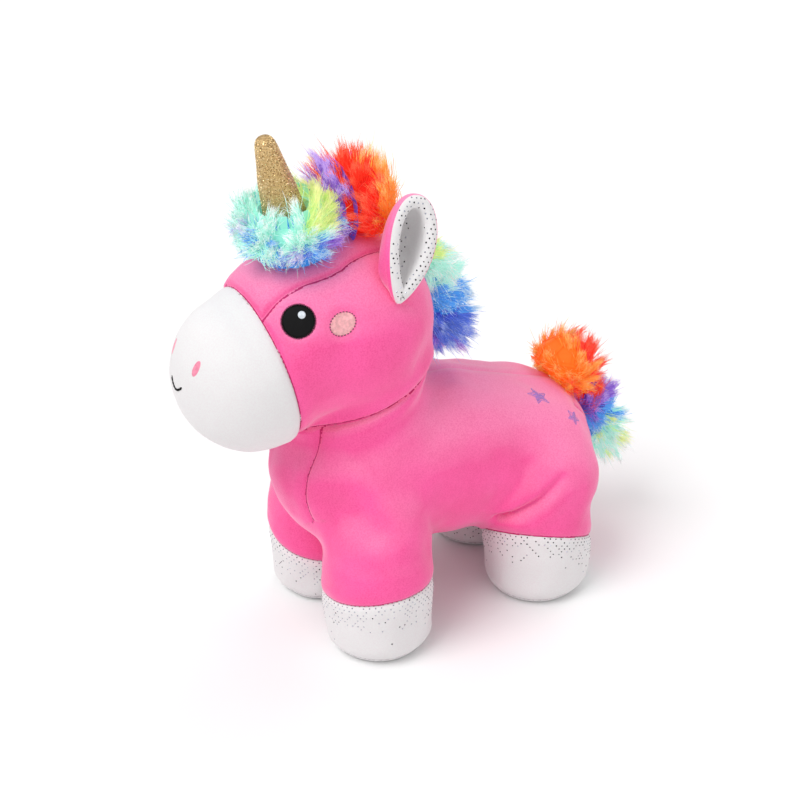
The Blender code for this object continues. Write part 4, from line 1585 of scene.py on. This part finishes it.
def make_fur():
    fur_materials()
    horn_foot = PIVOT["horn"]

    def from_horn(p):
        return Vector((p.x - horn_foot.x, p.y - horn_foot.y, 0))

    def clear_of_horn(p, normal):
        flat = from_horn(p)
        return normal.dot(flat) > -0.0012 and normal.z > -0.75 and flat.length > 9.5 * MM

    def up_round_horn(p, out):
        near = max(0, 1 - (from_horn(p).length - 9.5 * MM) / (12 * MM))
        return Vector((out.x, out.y, 0)).normalized() * 2 * MM * (1 - near) + UP * (1 + 6 * near) * MM
    whorls = [in_box("forelock", *share) for share in
              ((0.80, 0.48, 0.44), (0.20, 0.48, 0.44), (0.66, 0.22, 0.46), (0.34, 0.22, 0.46),
               (0.5, 0.84, 0.5))]
    grow_tuft("forelock_fur", "forelock", whorls, 240, 50, forelock_colour, up_round_horn,
              "head", 3, clear_of_horn, (0.95, 1.38))
    whorls = [in_box("mane_front", *share) for share in
              ((0.72, 0.62, 0.28), (0.28, 0.62, 0.28), (0.5, 0.35, 0.4))]
    grow_tuft("mane_front_fur", "mane_front", whorls, 180, 50, mane_front_colour,
              lambda p, out: Vector((0, -4.5, 4.6)) * MM, "head", 4,
              lambda p, n: n.z > -0.6)
    whorls = [in_box("mane_back", *share) for share in
              ((0.66, 0.25, 0.84), (0.34, 0.25, 0.84), (0.66, 0.36, 0.56), (0.34, 0.36, 0.56),
               (0.5, 0.44, 0.34))]
    grow_tuft("mane_back_fur", "mane_back", whorls, 190, 50, mane_back_colour,
              lambda p, out: Vector((0, 3.0, -4.0)) * MM, "head", 5)
    whorls = [in_box("tail", *share) for share in
              ((0.72, 0.30, 0.70), (0.28, 0.30, 0.70), (0.68, 0.48, 0.46), (0.32, 0.48, 0.46),
               (0.5, 0.66, 0.28))]
    grow_tuft("tail_fur", "tail", whorls, 260, 48, tail_colour,
              lambda p, out: Vector((0, 3.5, -2.5)) * MM, "tail", 6)


# ---------------------------------------------------------------- the stage
AIM = Vector((0, 7.4 * MM, 120 * MM))
AZIMUTH, ELEVATION, ROLL = radians(60), radians(30), radians(1.5)
DISTANCE = 0.9
LENS = 79.0


def make_camera():
    right = Vector((cos(AZIMUTH), sin(AZIMUTH), 0))
    up = Vector((-sin(AZIMUTH) * sin(ELEVATION), cos(AZIMUTH) * sin(ELEVATION), cos(ELEVATION)))
    back = right.cross(up)
    data = bpy.data.cameras.new("camera")
    data.lens = LENS
    camera = bpy.data.objects.new("camera", data)
    bpy.context.scene.collection.objects.link(camera)
    camera.location = AIM + back * DISTANCE
    target = AIM - right * 15.4 * MM - up * 7.2 * MM
    look = (target - camera.location).to_track_quat("-Z", "Y")
    camera.rotation_mode = "QUATERNION"
    camera.rotation_quaternion = look @ Matrix.Rotation(-ROLL, 3, "Z").to_quaternion()
    bpy.context.scene.camera = camera


def area_light(name, place, size, power):
    data = bpy.data.lights.new(name, "AREA")
    data.size = size
    data.energy = power
    lamp = bpy.data.objects.new(name, data)
    lamp.location = place
    lamp.rotation_mode = "QUATERNION"
    lamp.rotation_quaternion = (AIM - Vector(place)).to_track_quat("-Z", "Y")
    bpy.context.scene.collection.objects.link(lamp)


def sun_light(name, toward, power, spread):
    """A soft light that falls on the whole floor alike."""
    data = bpy.data.lights.new(name, "SUN")
    data.energy = power
    data.angle = radians(spread)
    lamp = bpy.data.objects.new(name, data)
    lamp.rotation_mode = "QUATERNION"
    lamp.rotation_quaternion = (-Vector(toward)).to_track_quat("-Z", "Y")
    bpy.context.scene.collection.objects.link(lamp)


def make_stage():
    bm = bmesh.new()
    bmesh.ops.create_grid(bm, x_segments=8, y_segments=8, size=12)
    floor = finish_bm("floor", bm, [])
    look = Look("floor", Roughness=0.9, Specular_IOR_Level=0.1)
    tones = look.ramp(look.noise(3, 2), [(0.3, (0.90, 0.90, 0.90, 1)), (0.7, (0.93, 0.93, 0.93, 1))])
    look.link(tones, look.shader.inputs["Base Color"])
    floor.data.materials.append(look.material)
    floor.location.z = -0.3 * MM
    world = bpy.data.worlds.new("studio")
    world.use_nodes = True
    world.node_tree.nodes["Background"].inputs["Color"].default_value = (1, 1, 1, 1)
    world.node_tree.nodes["Background"].inputs["Strength"].default_value = 0.60
    bpy.context.scene.world = world
    sun_light("key", (0.08, -0.58, 0.81), 1.65, 38)
    sun_light("rim", (-0.28, 0.52, 0.81), 0.55, 45)
    area_light("fill", (1.25, 0.35, 0.7), 1.2, 2.2)
    view = bpy.context.scene.view_settings
    view.view_transform = "Standard"
    view.look = "None"


def main():
    make_stage()
    make_camera()
    skin, seams = make_skin()
    surface = Surface(skin)
    place_fabric(split_skin(skin, seams))
    make_face(surface)
    make_smile(surface)
    make_stars(surface)
    head_stitches(surface)
    body_stitches(surface)
    for leg in LEGS:
        hoof_stitches(surface, leg)
    make_hoof_dots(surface)
    bpy.data.objects.remove(skin)
    make_horn()
    make_ears()
    make_fur()


main()
